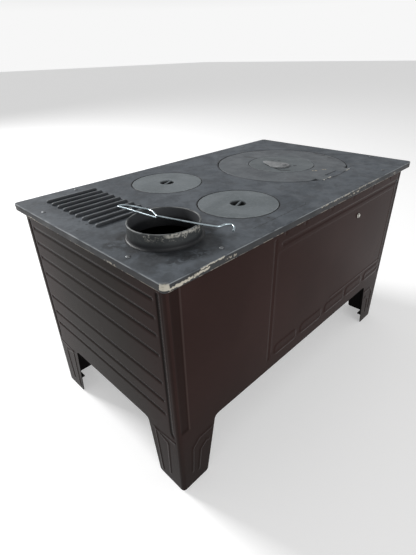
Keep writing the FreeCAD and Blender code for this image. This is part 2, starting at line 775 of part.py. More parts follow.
def make_end_panel(name, side):
    """End wall in one pressing, with two legs, inner flanges and pressed grooves."""
    body = new_body(name)
    half_width = face_y - dim.corner_return
    wall = new_sketch(body, "YZ_Plane", side * face_x)
    leg_foot = 164            # inner edge of each leg on the floor
    leg_root = 144            # and where it meets the body
    outline(wall, [
        (-half_width, 0), (-leg_foot, 0), (-leg_root, dim.leg_height), (leg_root, dim.leg_height),
        (leg_foot, 0), (half_width, 0), (half_width, plate_under), (-half_width, plate_under),
    ])
    pad(body, wall, dim.gauge, reverse=side > 0)
    flange_x = ordered(side * (face_x - dim.flange_width), side * (inside_x + 0.5))
    top_flange = new_sketch(body, "XY_Plane", plate_under)
    rectangle(top_flange, flange_x, (-205, 205))
    pad(body, top_flange, dim.gauge, reverse=True)
    low_flange = new_sketch(body, "XY_Plane", dim.leg_height)
    rectangle(low_flange, flange_x, (6 - leg_root, leg_root - 6))
    pad(body, low_flange, dim.gauge)
    half = dim.groove_width / 2
    grooves = new_sketch(body, "YZ_Plane", side * face_x)
    for level in END_GROOVE_LEVELS:
        rectangle(grooves, (-208, 208), (level - half, level + half))
    upright = 219
    for mark in (-1, 1):
        rectangle(grooves, (mark * upright - half, mark * upright + half), (160, 480))
    pocket(body, grooves, dim.groove_depth, reverse=side < 0)
    drill_flange(body, end_screws(side))
    return body


CORNERS = [(side_x, side_y) for side_x in (-1, 1) for side_y in (-1, 1)]
corner_ease = 1.6         # the inner pieces' corners are rounder than the panel's own bend
angle_play = 0.05         # between the panels and what lies in their corners
angle_thickness = 2


def in_corner(name, side, inset, width, low, high, radius):
    """A block in one upright corner of the body, inset from the panels and rounded at the corner."""
    side_x, side_y = side
    x = ordered(side_x * (inside_x - width), side_x * (inside_x - inset))
    y = ordered(side_y * (inside_y - width), side_y * (inside_y - inset))
    raw = block(name + "_raw", x, y, (low, high))
    corner_x = side_x * (inside_x.value - inset)
    corner_y = side_y * (inside_y.value - inset) + shift_y.value

    def is_corner(line):
        point = line.Vertexes[0].Point
        return is_upright(line) and math.hypot(point.x - corner_x, point.y - corner_y) < 0.01

    return rounded(name, raw, is_corner, radius)


def make_corner_angles():
    """Upright angle irons that join the panels inside the four corners."""
    angles = []
    width = 20
    low = base_level + dim.gauge
    high = plate_under - 2
    outer_radius = dim.corner_radius - dim.gauge + corner_ease
    for side in CORNERS:
        outside = in_corner("angle", side, angle_play, width, low, high, outer_radius)
        inside = in_corner("angle_inside", side, angle_play + angle_thickness, width + 5, low - 1, high + 1,
                           outer_radius - angle_thickness)
        angles.append(cut("corner_angle", outside, [inside]))
    return group("corner_angles", angles)


def make_foot_plates():
    """Small square plates welded into the bottom of each leg."""
    radius = dim.corner_radius - dim.gauge + corner_ease
    width, thickness = 28, 3
    plates = [in_corner("foot_plate", side, angle_play, width, 0, thickness, radius) for side in CORNERS]
    return group("foot_plates", plates)


def make_panel_nuts():
    """Nuts on the panels' welded studs, inside the corner angles."""
    nuts = []
    nut_height = 3.5
    stud_inset = 13
    against_angle = angle_play + angle_thickness
    for side_x, side_y in CORNERS:
        for level in (200, 460):
            spots = [(side_x * (inside_x - against_angle), side_y * (inside_y - stud_inset), "x", -side_x),
                     (side_x * (inside_x - stud_inset), side_y * (inside_y - against_angle), "y", -side_y)]
            for x, y, along, way in spots:
                nut = hexagon("panel_nut", 4.2, nut_height)
                start_x = x if way > 0 or along != "x" else x - nut_height
                start_y = y if way > 0 or along != "y" else y - nut_height
                place(nut, start_x, start_y, level, TURNS[along])
                nuts.append(nut)
    return group("panel_nuts", nuts)


def make_base_sheet():
    return block("base_sheet", (-inside_x + 2, inside_x - 2), (-inside_y + 10, inside_y - 10),
                 (base_level, base_level + dim.gauge))


# ---------------------------------------------------------------- firebox and ash drawer

lining_low = dim.floor_level + dim.lining_thickness       # top of the firebox floor
deck = base_level + dim.gauge                             # top of the base sheet


GRATE_HALF_X = 81
GRATE_HALF_Y = 121
GRATE_SLOTS = 12


def make_firebox_floor():
    """Cast floor with a rebated opening for the grate."""
    t = dim.lining_thickness
    slab = block("floor_slab", (dim.fire_left_x - t, dim.fire_right_x + t),
                 (-dim.fire_half_depth - t, dim.fire_half_depth + t), (dim.floor_level, lining_low))
    middle = dim.drawer_middle_x
    ledge = 10
    half_x, half_y = GRATE_HALF_X + 1, GRATE_HALF_Y + 1
    rebate = block("grate_rebate", (middle - half_x, middle + half_x), (-half_y, half_y),
                   (lining_low - 4, lining_low + 1))
    throat = block("ash_throat", (middle - half_x + ledge, middle + half_x - ledge),
                   (ledge - half_y, half_y - ledge), (dim.floor_level - 1, lining_low + 1))
    return cut("firebox_floor", slab, [rebate, throat])


def make_grate():
    """Cast grate: a plate with a row of slots, hanging in the rebate of the floor."""
    body = new_body("grate", dim.drawer_middle_x, 0, lining_low)
    thickness = 8
    low = -3.5
    rows = 198                # first slot to last slot
    plate = new_sketch(body, "XY_Plane", low)
    rectangle(plate, (-GRATE_HALF_X, GRATE_HALF_X), (-GRATE_HALF_Y, GRATE_HALF_Y))
    pad(body, plate, thickness)
    slot = new_sketch(body, "XY_Plane", low + thickness + 0.5)
    rectangle(slot, (-66, 66), (-rows / 2 - 5, -rows / 2 + 5))
    first_slot = pocket(body, slot, thickness + 4)
    repeat(body, first_slot, slot, "V_Axis", rows, GRATE_SLOTS)
    return body


def make_linings():
    """Cast plates that line the four sides of the firebox."""
    t = dim.lining_thickness
    left, right, depth = dim.fire_left_x, dim.fire_right_x, dim.fire_half_depth
    levels = (lining_low, dim.lining_top)
    back_slab = block("back_slab", (left - t, right + t), (depth, depth + t), levels)
    screw_x, screw_z = LINING_SCREW
    back = cut("back_lining", back_slab, [rod("lining_bore", dim.lining_screw_radius + dim.running_gap, "y",
                                              (screw_x, depth - 1, screw_z), t + 2)])
    end = block("fire_end_lining", (left - t, left), (-depth, depth), levels)
    oven_side = block("oven_side_lining", (right, right + t), (-depth, depth), (lining_low, 440))
    slab = block("front_slab", (left - t, right + t), (-depth - t, -depth), levels)
    window = block("front_window",
                   (dim.fuel_middle_x - dim.fuel_half_width, dim.fuel_middle_x + dim.fuel_half_width),
                   (-depth - t - 1, -depth + 1),
                   (dim.fuel_middle_level - dim.fuel_half_height, dim.fuel_middle_level + dim.fuel_half_height))
    return [back, end, oven_side, cut("front_lining", slab, [window])]


def make_lining_screw():
    """The one screw that shows on the back panel: it holds the back lining."""
    x, level = LINING_SCREW
    washer_thickness = 1.2
    head = rod("lining_screw_head", 4.2, "y", (x, face_y + washer_thickness, level), 2.4)
    washer = rod("lining_washer", 6, "y", (x, face_y, level), washer_thickness)
    shank = rod("lining_shank", dim.lining_screw_radius, "y", (x, dim.fire_half_depth + 2, level),
                face_y - dim.fire_half_depth)
    return fuse("lining_screw", [head, washer, shank])


CHANNEL_BACK = 222            # back of the ash drawer's tunnel along Y
DRAWER_BACK = 200
AIR_PITCH = 30                # the air holes in the drawer front
AIR_HALF_WIDTH = 6
AIR_LEVELS = (206, 222)


def make_ash_channel():
    """Folded sheet tunnel that guides the ash drawer and carries the firebox floor."""
    middle = dim.drawer_middle_x
    half = dim.drawer_half_width + 2
    ledge_top = dim.drawer_low - dim.seat_gap
    y = (-inside_y + 1, CHANNEL_BACK)
    pieces = []
    for side in (-1, 1):
        def pair(near, far):
            return ordered(middle + side * near, middle + side * far)
        pieces.append(block("channel_wall", pair(half, half + dim.gauge), y, (deck, dim.floor_level)))
        pieces.append(block("channel_ledge", pair(half - 12, half + 0.5), y,
                            (ledge_top - dim.gauge, ledge_top)))
        pieces.append(block("channel_flange", pair(half, half + 14), y,
                            (dim.floor_level - dim.gauge, dim.floor_level)))
    pieces.append(block("channel_back", (middle - half, middle + half),
                        (CHANNEL_BACK - dim.gauge, CHANNEL_BACK), (deck, dim.floor_level)))
    return fuse("ash_channel", pieces)


def air_row(name, middle, y):
    """Five upright slots side by side."""
    centres = [middle + step * AIR_PITCH for step in range(-2, 3)]
    return [block(name, (x - AIR_HALF_WIDTH, x + AIR_HALF_WIDTH), y, AIR_LEVELS) for x in centres]


def make_ash_drawer():
    """Folded tray, its enamelled front with air holes, the knob, and the sliding air plate."""
    middle = dim.drawer_middle_x
    half = dim.drawer_half_width
    wall = 1.2
    y = (-inside_y + 1, DRAWER_BACK)
    shell = block("drawer_shell", (middle - half, middle + half), y, (dim.drawer_low, dim.drawer_high))
    inside = block("drawer_inside", (middle - half + wall, middle + half - wall), (y[0] + wall, y[1] - wall),
                   (dim.drawer_low + wall, dim.drawer_high + 1))
    drawer = cut("ash_drawer", shell, [inside] + air_row("drawer_air", middle, (y[0] - 1, y[0] + 3)))
    back, front = -face_y - 1, -face_y - 5
    plate = block("front_plate", (middle - half - 10, middle + half + 10), (front, back),
                  (dim.drawer_low - 9, dim.drawer_high + 10))
    spacers = [block("front_spacer", (x - 5, x + 5), (back - 0.5, y[0]), (176, 196))
               for x in (middle - 80, middle + 80)]
    cover = cut("ash_drawer_front", fuse("front_blank", [plate] + spacers),
                air_row("front_air", middle, (front - 1, back + 1)))
    knob_level = 184
    knob_back, knob_front = -face_y - 23, -face_y - 36
    stem = rod("knob_stem", 4, "y", (middle, knob_back - 1, knob_level), front - knob_back + 1)
    ball = rod("knob_head", 13, "y", (middle, knob_front, knob_level), knob_back - knob_front)
    knob = fuse("ash_drawer_knob", [rounded("knob_round", ball, is_round_edge, 4), stem])
    slider_y = (front - 2.3, front - dim.seat_gap)
    strip = block("slider_strip", (middle - 84, middle + 70), slider_y, (203, 225))
    tab = rod("slider_tab", 4, "y", (middle + 46, front - 12, 214), 10)
    windows = air_row("slider_window", middle + 1, (slider_y[0] - 0.7, front))
    slider = cut("air_slider", fuse("slider_blank", [strip, tab]), windows)
    return [drawer, cover, knob, slider]


def is_round_edge(edge):
    return len(edge.Vertexes) == 1 and edge.Curve.TypeId == "Part::GeomCircle"


# ---------------------------------------------------------------- fuel door

FUEL_HINGE = (-374, -256)      # X and Y of the upright hinge pins
FUEL_LATCH = (-140, 355)       # X and height of the latch pivot
DOOR_BACK = -251               # back and front of the fuel door along Y
DOOR_FRONT = -261
PIN_RADIUS = 3                 # hinge pins of both doors
KNUCKLE_RADIUS = 6
KNUCKLE_HEIGHT = 20
KNUCKLE_LEVELS = (288, 402)    # the door's knuckles; the frame's lugs stand between them
LUG_LEVELS = (308.4, 382)
LUG_HEIGHT = 19.6
SPINDLE_RADIUS = 4


def make_fuel_frame():
    """Cast frame with a throat through the panel, hinge lugs and the latch keeper."""
    x, z = dim.fuel_middle_x, dim.fuel_middle_level
    wide, high = dim.fuel_half_width, dim.fuel_half_height
    throat_wall = 4
    front, back = -face_y - 11, -face_y - 1
    keeper_x, keeper_low, keeper_front = (-121, -110), 338, -face_y - 33
    rim = block("frame_rim", (x - wide - 30, x + wide + 30), (front, back), (z - high - 24, z + high + 24))
    throat = block("frame_throat", (x - wide - throat_wall, x + wide + throat_wall),
                   (back - 0.5, -dim.fire_half_depth - 9), (z - high - throat_wall, z + high + throat_wall))
    keeper = block("keeper", keeper_x, (keeper_front, front + 1), (keeper_low, keeper_low + 11))
    lip = block("keeper_lip", keeper_x, (keeper_front, keeper_front + 3.5), (keeper_low, keeper_low + 20))
    lugs = []
    for low in LUG_LEVELS:
        lugs.append(rod("frame_lug", KNUCKLE_RADIUS, "z", (*FUEL_HINGE, low), LUG_HEIGHT))
        lugs.append(block("lug_web", (FUEL_HINGE[0] - KNUCKLE_RADIUS, FUEL_HINGE[0] + KNUCKLE_RADIUS - 1),
                          (FUEL_HINGE[1], front + 0.5), (low, low + LUG_HEIGHT)))
    window = block("frame_window", (x - wide, x + wide), (-face_y - 20, -face_y + 40), (z - high, z + high))
    bores = [rod("lug_bore", PIN_RADIUS, "z", (*FUEL_HINGE, low - 1), LUG_HEIGHT + 2) for low in LUG_LEVELS]
    return cut("fuel_door_frame", fuse("frame_blank", [rim, throat, keeper, lip] + lugs), [window] + bores)


def make_fuel_door():
    """Cast door with two hinge knuckles and a raised border, its heat shield and the hinge pins."""
    thickness = DOOR_BACK - DOOR_FRONT
    x, z = (-366, -124), (268, 442)
    border = 18
    body = new_body("door_casting")
    slab = new_sketch(body, "XZ_Plane", -DOOR_BACK)
    rectangle(slab, x, z)
    pad(body, slab, thickness)
    soften(body, lambda edge: abs(edge.Length - thickness) < 1e-3, 14)
    field = new_sketch(body, "XZ_Plane", -DOOR_FRONT)
    rectangle(field, (x[0] + border, x[1] - border), (z[0] + border, z[1] - border))
    pocket(body, field, 3)
    pieces = [body]
    for low in KNUCKLE_LEVELS:
        pieces.append(rod("knuckle", KNUCKLE_RADIUS, "z", (*FUEL_HINGE, low), KNUCKLE_HEIGHT))
        pieces.append(block("knuckle_web", (FUEL_HINGE[0], x[0] + 6), (DOOR_FRONT + 0.5, DOOR_BACK - 0.5),
                            (low, low + KNUCKLE_HEIGHT)))
    pieces.append(rod("latch_hub_boss", 10, "y", (FUEL_LATCH[0], DOOR_FRONT, FUEL_LATCH[1]), 5))
    bores = [rod("knuckle_bore", PIN_RADIUS + dim.running_gap, "z", (*FUEL_HINGE, low - 1), KNUCKLE_HEIGHT + 2)
             for low in KNUCKLE_LEVELS]
    bores.append(rod("latch_bore", SPINDLE_RADIUS + dim.running_gap, "y",
                     (FUEL_LATCH[0], DOOR_FRONT - 1, FUEL_LATCH[1]), thickness + 4))
    door = cut("fuel_door", fuse("door_blank", pieces), bores)
    shield_x, shield_z, inset = (-342, -165), (292, 418), 12
    posts = [rod("shield_post", 4, "y", (post_x, DOOR_BACK, post_z), 4)
             for post_x in (shield_x[0] + inset, shield_x[1] - inset + 2)
             for post_z in (shield_z[0] + inset + 1, shield_z[1] - inset - 1)]
    shield = block("shield_plate", shield_x, (DOOR_BACK + 4, DOOR_BACK + 6), shield_z)
    liner = fuse("fuel_door_shield", posts + [shield])
    pins = group("fuel_hinge_pins", [rod("fuel_pin", PIN_RADIUS, "z", (*FUEL_HINGE, low - 1), 42)
                                     for low in (KNUCKLE_LEVELS[0], LUG_LEVELS[1])])
    return [door, liner, pins]


def make_fuel_latch():
    """Latch lever on a spindle through the door; the rest position is open, with the nose up."""
    turn = FreeCAD.Rotation(FreeCAD.Vector(0, 1, 0), -LATCH_ANGLE)
    up = math.radians(LATCH_ANGLE)
    back = DOOR_FRONT - 1
    front = back - 8
    arm_height = 9
    spindle = rod("latch_spindle", SPINDLE_RADIUS, "y", (FUEL_LATCH[0], front, FUEL_LATCH[1]), 19)
    hub = rod("latch_hub", 9, "y", (FUEL_LATCH[0], front, FUEL_LATCH[1]), 7)

    def arm(name, start, length, low_y, thickness):
        """A bar that leaves the pivot at the latch's own angle."""
        bar = doc.addObject("Part::Box", name)
        bar.Length = length
        bar.Width = thickness
        bar.Height = arm_height
        place(bar, FUEL_LATCH[0] + start * math.cos(up) + arm_height / 2 * math.sin(up), low_y,
              FUEL_LATCH[1] + start * math.sin(up) - arm_height / 2 * math.cos(up), turn)
        return bar

    nose = arm("latch_nose", 4, 22, back - 5.5, 4)
    lever = arm("latch_lever", -44, 40, front, 5)
    stem_reach = 40
    stem_x = FUEL_LATCH[0] - stem_reach * math.cos(up)
    stem_z = FUEL_LATCH[1] - stem_reach * math.sin(up)
    stem_front = front - 10
    stem = rod("latch_stem", PIN_RADIUS, "y", (stem_x, stem_front, stem_z), 14)
    latch = fuse("fuel_door_latch", [spindle, hub, nose, lever, stem])
    grip_blank = rod("grip_blank", 9, "y", (stem_x, stem_front - 13, stem_z), 18)
    grip = cut("latch_grip", rounded("grip_round", grip_blank, is_round_edge, 3),
               [rod("grip_bore", PIN_RADIUS, "y", (stem_x, stem_front, stem_z), 8)])
    return [latch, grip]


# ---------------------------------------------------------------- oven

SHELF_Y = (-200, 160)          # ends of the wire shelf
RUNNER_Y = (-215, 175)
RUNNER_WIDTH = 12
TRAY_LEVEL = 240               # underside of the lower runners
SHELF_LEVEL = 320              # underside of the upper runners


def make_oven_box():
    """Folded sheet box, open at the front, with a flange behind the front panel."""
    g = dim.gauge
    flange_width = 8
    x = (dim.oven_left_x, dim.oven_right_x)
    z = (dim.oven_low, dim.oven_high)
    front = -inside_y + 0.2
    shell = block("oven_shell", x, (front, dim.oven_back_y), z)
    flange = block("oven_flange", (x[0] - flange_width, x[1] + flange_width), (front, front + g),
                   (z[0] - flange_width, z[1] + flange_width))
    cavity = block("oven_space", (x[0] + g, x[1] - g), (front - 1, dim.oven_back_y - g), (z[0] + g, z[1] - g))
    return cut("oven_box", fuse("oven_blank", [shell, flange]), [cavity])


def make_shelf_runners():
    """Angle strips along both oven walls, at two heights."""
    g = dim.gauge
    left, right = dim.oven_left_x + g, dim.oven_right_x - g
    strips = [block("runner", x, RUNNER_Y, (level, level + g)) for level in (TRAY_LEVEL, SHELF_LEVEL)
              for x in ((left, left + RUNNER_WIDTH), (right - RUNNER_WIDTH, right))]
    return group("shelf_runners", strips)


def make_oven_shelf():
    """Wire shelf: a round-bar frame with thinner bars across."""
    frame_radius, bar_radius, gaps = 3, 2, 14
    level = SHELF_LEVEL + dim.gauge + frame_radius + dim.seat_gap
    left, right = dim.oven_left_x + 6, dim.oven_right_x - 6
    depth = SHELF_Y[1] - SHELF_Y[0]
    frame = [rod("shelf_side", frame_radius, "y", (x, SHELF_Y[0], level), depth) for x in (left, right)]
    frame += [rod("shelf_end", frame_radius, "x", (left, y, level), right - left)
              for y in (SHELF_Y[0], sum(SHELF_Y) / 2, SHELF_Y[1])]
    bars = [rod("shelf_bar", bar_radius, "y", (left + (right - left) * (step / gaps), SHELF_Y[0], level), depth)
            for step in range(1, gaps)]
    return fuse("oven_shelf", frame + bars)


def make_oven_tray():
    """Pressed baking tray that hangs on the lower runners by its rim."""
    g = 1.5
    rim_width = 14
    depth = 28
    level = TRAY_LEVEL + dim.gauge + dim.seat_gap
    x = (dim.oven_left_x + 4, dim.oven_right_x - 4)
    y = (SHELF_Y[0], 165)
    rim = block("tray_rim", x, y, (level, level + g))
    pan_x, pan_y = (x[0] + rim_width, x[1] - rim_width), (y[0] + rim_width, y[1] - rim_width)
    pan = block("tray_pan", pan_x, pan_y, (level - depth, level + 1))
    hollow = block("tray_hollow", (pan_x[0] + g, pan_x[1] - g), (pan_y[0] + g, pan_y[1] - g),
                   (level - depth + g, level + 5))
    return cut("oven_tray", fuse("tray_blank", [rim, pan]), [hollow])


def make_oven_door():
    """Drop-down door: a pressed outer pan, an inner liner, a bar handle, brackets and pins."""
    axis_y, axis_z = dim.door_axis_y, dim.door_axis_level
    half_depth = 10
    left, right = dim.oven_left_x - 8, dim.oven_right_x + 8
    low, high = axis_z - 6, dim.oven_high + 8
    border, border_low, border_high = 14, 16, 12
    body = new_body("door_pan")
    slab = new_sketch(body, "XZ_Plane", -(axis_y + half_depth))
    rectangle(slab, (left, right), (low, high))
    pad(body, slab, 2 * half_depth)
    soften(body, lambda edge: abs(edge.Length - 2 * half_depth) < 1e-3, 10)
    recess = new_sketch(body, "XZ_Plane", -(axis_y + half_depth))
    rectangle(recess, (left + border, right - border), (low + border_low, high - border_high))
    pocket(body, recess, 2 * half_depth - 3, reverse=True)
    pin_reach = 16
    pin_bores = [rod("door_bore", PIN_RADIUS + dim.running_gap, "x", (x, axis_y, axis_z), pin_reach)
                 for x in (left - 1, right + 1 - pin_reach)]
    door = cut("oven_door", body, pin_bores)
    play = 0.2
    liner = block("oven_door_liner", (left + border + play, right - border - play), (axis_y + 6, axis_y + 8),
                  (low + border_low + play, high - border_high - play))
    handle_z = high - 26
    front = axis_y - half_depth
    reach = 30
    posts = [block("handle_post", (x - 5, x + 5), (front - reach, front), (handle_z - 6, handle_z + 6))
             for x in (left + 90, right - 90)]
    bar = rod("handle_bar", 7.5, "x", (left + 70, front - reach + 2, handle_z), right - left - 140)
    handle = fuse("oven_door_handle", posts + [rounded("bar_round", bar, is_round_edge, 3)])
    brackets = []
    pins = []
    pin_length = 18
    for x, way in ((left, -1), (right, 1)):
        edges = ordered(x + way * 0.6, x + way * 5)
        ear = block("bracket_ear", edges, (axis_y - 8, -face_y), (axis_z - 8, axis_z + 8))
        bore = rod("ear_bore", PIN_RADIUS, "x", (edges[0] - 1, axis_y, axis_z), 8)
        brackets.append(cut("hinge_bracket", ear, [bore]))
        start = edges[0] if way < 0 else edges[1] - pin_length
        pins.append(rod("hinge_pin", PIN_RADIUS, "x", (start, axis_y, axis_z), pin_length))
    return [door, liner, handle, group("oven_hinge_brackets", brackets), group("oven_hinge_pins", pins)]


# ---------------------------------------------------------------- the whole stove

def front_windows():
    """Openings in the front panel: fuel door, ash drawer and oven."""
    x, z = dim.fuel_middle_x, dim.fuel_middle_level
    wide, high = dim.fuel_half_width + 4, dim.fuel_half_height + 4
    half = dim.drawer_half_width + 2
    return [
        ((x - wide, x + wide), (z - high, z + high)),
        ((dim.drawer_middle_x - half, dim.drawer_middle_x + half), (162, 236)),
        ((dim.oven_left_x + 2, dim.oven_right_x - 2), (dim.oven_low + 2, dim.oven_high - 2)),
    ]


def make_stove():
    pieces = [
        make_top_plate(), make_flue_collar(), make_ring_pin(), make_large_ring(), make_centre_lid(),
        make_swivel_cover(), make_cover_rivet(),
        make_small_lid("back_lid", 1), make_small_lid("front_lid", -1),
        *make_screws(), make_lid_lifter(),
        make_back_panel(), make_long_panel("front_panel", -1, front_windows()),
        make_end_panel("flue_end_panel", 1), make_end_panel("fire_end_panel", -1),
        make_base_sheet(), make_corner_angles(), make_panel_nuts(), make_foot_plates(),
        make_firebox_floor(), make_grate(), *make_linings(), make_lining_screw(),
        make_ash_channel(), *make_ash_drawer(),
        make_fuel_frame(), *make_fuel_door(), *make_fuel_latch(),
        make_oven_box(), make_shelf_runners(), make_oven_shelf(), make_oven_tray(), *make_oven_door(),
    ]
    for piece in pieces:
        piece.Label = piece.Name
    return pieces


def check(pieces):
    """Stop if any object failed or any piece isn't a sound solid."""
    for thing in doc.Objects:
        if "Invalid" in thing.State or "Error" in thing.State:
            raise ValueError("%s is %s" % (thing.Name, thing.State))
    for piece in pieces:
        if piece.Shape.isNull() or not piece.Shape.isValid() or not piece.Shape.Solids:
            raise ValueError("%s has no sound solid" % piece.Label)


stove = make_stove()
doc.recompute()
check(stove)
os.makedirs("parts", exist_ok=True)
for piece in stove:
    piece.Shape.exportStep("parts/%s.step" % piece.Label)
    box = piece.Shape.BoundBox
    print("%-22s %d solid(s) x %.1f..%.1f y %.1f..%.1f z %.1f..%.1f" % (
        piece.Label, len(piece.Shape.Solids), box.XMin, box.XMax, box.YMin, box.YMax, box.ZMin, box.ZMax))
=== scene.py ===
import json
import math

import bpy
from mathutils import Matrix, Vector
from mathutils.geometry import tessellate_polygon

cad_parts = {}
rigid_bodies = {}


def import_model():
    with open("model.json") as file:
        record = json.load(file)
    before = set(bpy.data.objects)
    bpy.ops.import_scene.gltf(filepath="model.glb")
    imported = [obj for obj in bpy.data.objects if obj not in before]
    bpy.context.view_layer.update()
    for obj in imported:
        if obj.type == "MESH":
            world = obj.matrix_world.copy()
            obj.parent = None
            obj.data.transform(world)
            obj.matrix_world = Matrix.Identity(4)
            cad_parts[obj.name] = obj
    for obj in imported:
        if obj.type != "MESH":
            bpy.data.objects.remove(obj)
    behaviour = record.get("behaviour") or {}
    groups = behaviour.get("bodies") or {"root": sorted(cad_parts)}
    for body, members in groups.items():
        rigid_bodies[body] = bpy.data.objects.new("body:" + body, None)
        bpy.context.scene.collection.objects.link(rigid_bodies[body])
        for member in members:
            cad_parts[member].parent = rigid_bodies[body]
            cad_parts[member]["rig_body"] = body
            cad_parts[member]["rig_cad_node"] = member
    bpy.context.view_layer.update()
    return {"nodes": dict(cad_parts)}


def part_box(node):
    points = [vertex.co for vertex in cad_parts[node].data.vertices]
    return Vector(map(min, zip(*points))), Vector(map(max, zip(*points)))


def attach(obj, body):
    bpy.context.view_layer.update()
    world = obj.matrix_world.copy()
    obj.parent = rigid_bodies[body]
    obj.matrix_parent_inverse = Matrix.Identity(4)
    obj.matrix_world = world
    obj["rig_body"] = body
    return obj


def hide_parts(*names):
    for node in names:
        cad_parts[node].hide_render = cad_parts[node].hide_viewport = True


# Wood burning stove. Lengths are millimetres in the row frame unless a name says otherwise:
# X along the stove with the flue at +X, doors at -Y, Z up from the floor.

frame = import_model()
nodes = frame["nodes"]

MM = 0.001
MID_Y = 22                    # middle of the cooking plate
PLATE_TOP = 512
PLATE_UNDER = 504
RIM_LOW = 497
HALF_X = 440                  # cooking plate, half its length
HALF_Y = 253.5
FACE_X = 428                  # outer face of the end panels
FACE_Y = 239                  # outer face of the long panels, from the middle of the plate
LEG_TOP = 150
GAUGE = 1.5


# ---------------------------------------------------------------- numbers

def clamp(value):
    return min(1.0, max(0.0, value))


def smooth(value, start, end):
    """0 before start, 1 after end, and an easy slope between."""
    t = clamp((value - start) / (end - start))
    return t * t * (3 - 2 * t)


def bump(distance, half):
    """1 on the line, 0 at half or more from it."""
    return 0.5 + 0.5 * math.cos(math.pi * distance / half) if distance < half else 0.0


def to_segment(px, pz, ax, az, bx, bz):
    """Distance from a point to a straight stroke."""
    run_x, run_z = bx - ax, bz - az
    length = run_x * run_x + run_z * run_z
    t = clamp(((px - ax) * run_x + (pz - az) * run_z) / length) if length else 0.0
    return math.hypot(px - ax - t * run_x, pz - az - t * run_z)


def to_path(px, pz, path):
    return min(to_segment(px, pz, *start, *end) for start, end in zip(path, path[1:]))


def in_box(px, pz, low_x, high_x, low_z, high_z, radius):
    """Signed distance to a rounded rectangle: negative inside."""
    half_x, half_z = (high_x - low_x) / 2 - radius, (high_z - low_z) / 2 - radius
    away_x = abs(px - (low_x + high_x) / 2) - half_x
    away_z = abs(pz - (low_z + high_z) / 2) - half_z
    outside = math.hypot(max(away_x, 0), max(away_z, 0))
    return outside + min(max(away_x, away_z), 0) - radius


def steps(stops, coarse, fine_zones, fine):
    """Rising positions through all the stops, closer together inside the fine zones."""
    marks = sorted(set([round(stop, 4) for stop in stops]
                       + [round(edge, 4) for zone in fine_zones for edge in zone
                          if stops[0] < edge < stops[-1]]))
    made = [marks[0]]
    for start, end in zip(marks, marks[1:]):
        middle = (start + end) / 2
        size = fine if any(low <= middle <= high for low, high in fine_zones) else coarse
        count = max(1, math.ceil((end - start) / size))
        made += [start + (end - start) * step / count for step in range(1, count + 1)]
    return made


# ---------------------------------------------------------------- meshes

class Build:
    """Points in millimetres and faces that become one mesh."""

    def __init__(self):
        self.points = []
        self.faces = []

    def ring(self, points):
        first = len(self.points)
        self.points += [tuple(point) for point in points]
        return list(range(first, len(self.points)))

    def bridge(self, rings, closed=True):
        """Faces between rows of points."""
        for near, far in zip(rings, rings[1:]):
            count = len(near)
            for i in range(count if closed else count - 1):
                j = (i + 1) % count
                self.faces.append((near[i], near[j], far[j], far[i]))

    def fill(self, rings, turned=False):
        """A flat face with holes; the first ring is the outside."""
        spots = [[Vector(self.points[i]) for i in ring] for ring in rings]
        flat = [i for ring in rings for i in ring]
        for a, b, c in tessellate_polygon(spots):
            self.faces.append((flat[c], flat[b], flat[a]) if turned else (flat[a], flat[b], flat[c]))

    def box(self, x, y, z):
        corner = [self.ring([(x[i], y[j], z[k])])[0] for i in (0, 1) for j in (0, 1) for k in (0, 1)]
        for face in ((0, 1, 3, 2), (4, 6, 7, 5), (0, 4, 5, 1), (2, 3, 7, 6), (0, 2, 6, 4), (1, 5, 7, 3)):
            self.faces.append(tuple(corner[i] for i in face))

    def lathe(self, profile, x, y, start=0.0, end=360.0, sides=96):
        """Turn a closed profile of (radius, level) about an upright axis."""
        whole = end - start >= 360
        count = sides if whole else sides + 1
        rings = []
        for step in range(count):
            angle = math.radians(start + (end - start) * step / sides)
            ux, uy = math.cos(angle), math.sin(angle)
            rings.append(self.ring([(x + radius * ux, y + radius * uy, z) for radius, z in profile]))
        if whole:
            rings.append(rings[0])
        self.bridge(rings)
        if not whole:
            self.fill([rings[0]])
            self.fill([rings[-1]], turned=True)

    def tube(self, route, radius, sides=16):
        """A round bar along a route of points."""
        side = (route[1] - route[0]).orthogonal().normalized()
        rings = []
        for i, point in enumerate(route):
            tangent = (route[min(len(route) - 1, i + 1)] - route[max(0, i - 1)]).normalized()
            side = (side - tangent * side.dot(tangent)).normalized()
            across = tangent.cross(side)
            turns = [2 * math.pi * step / sides for step in range(sides)]
            rings.append(self.ring([point + radius * (side * math.cos(turn) + across * math.sin(turn))
                                    for turn in turns]))
        self.bridge(rings)
        self.fill([rings[0]], turned=True)
        self.fill([rings[-1]])


WELD = 0.02                   # points closer than this become one


def clean_mesh(obj, flatten=False):
    """Weld double points, turn the faces outwards and shade smooth."""
    for other in bpy.context.selected_objects:
        other.select_set(False)
    obj.select_set(True)
    bpy.context.view_layer.objects.active = obj
    bpy.ops.object.mode_set(mode="EDIT")
    bpy.ops.mesh.select_all(action="SELECT")
    bpy.ops.mesh.remove_doubles(threshold=WELD * MM)
    if flatten:
        bpy.ops.mesh.dissolve_limited(angle_limit=math.radians(1))
    bpy.ops.mesh.normals_make_consistent(inside=False)
    bpy.ops.object.mode_set(mode="OBJECT")
    obj.data.shade_smooth()


def to_object(name, build, smooth_angle=32):
    mesh = bpy.data.meshes.new(name)
    mesh.from_pydata([[value * MM for value in point] for point in build.points], [], build.faces)
    mesh.validate()
    mesh.update()
    obj = bpy.data.objects.new(name, mesh)
    bpy.context.scene.collection.objects.link(obj)
    clean_mesh(obj)
    obj.data.set_sharp_from_angle(angle=math.radians(smooth_angle))
    return obj


def dress(obj, body, material, slot, *replaced):
    """Give the piece its material, its CAD body and the nodes that it stands for."""
    obj.data.materials.clear()
    obj.data.materials.append(material)
    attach(obj, body)
    if replaced:
        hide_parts(*replaced)


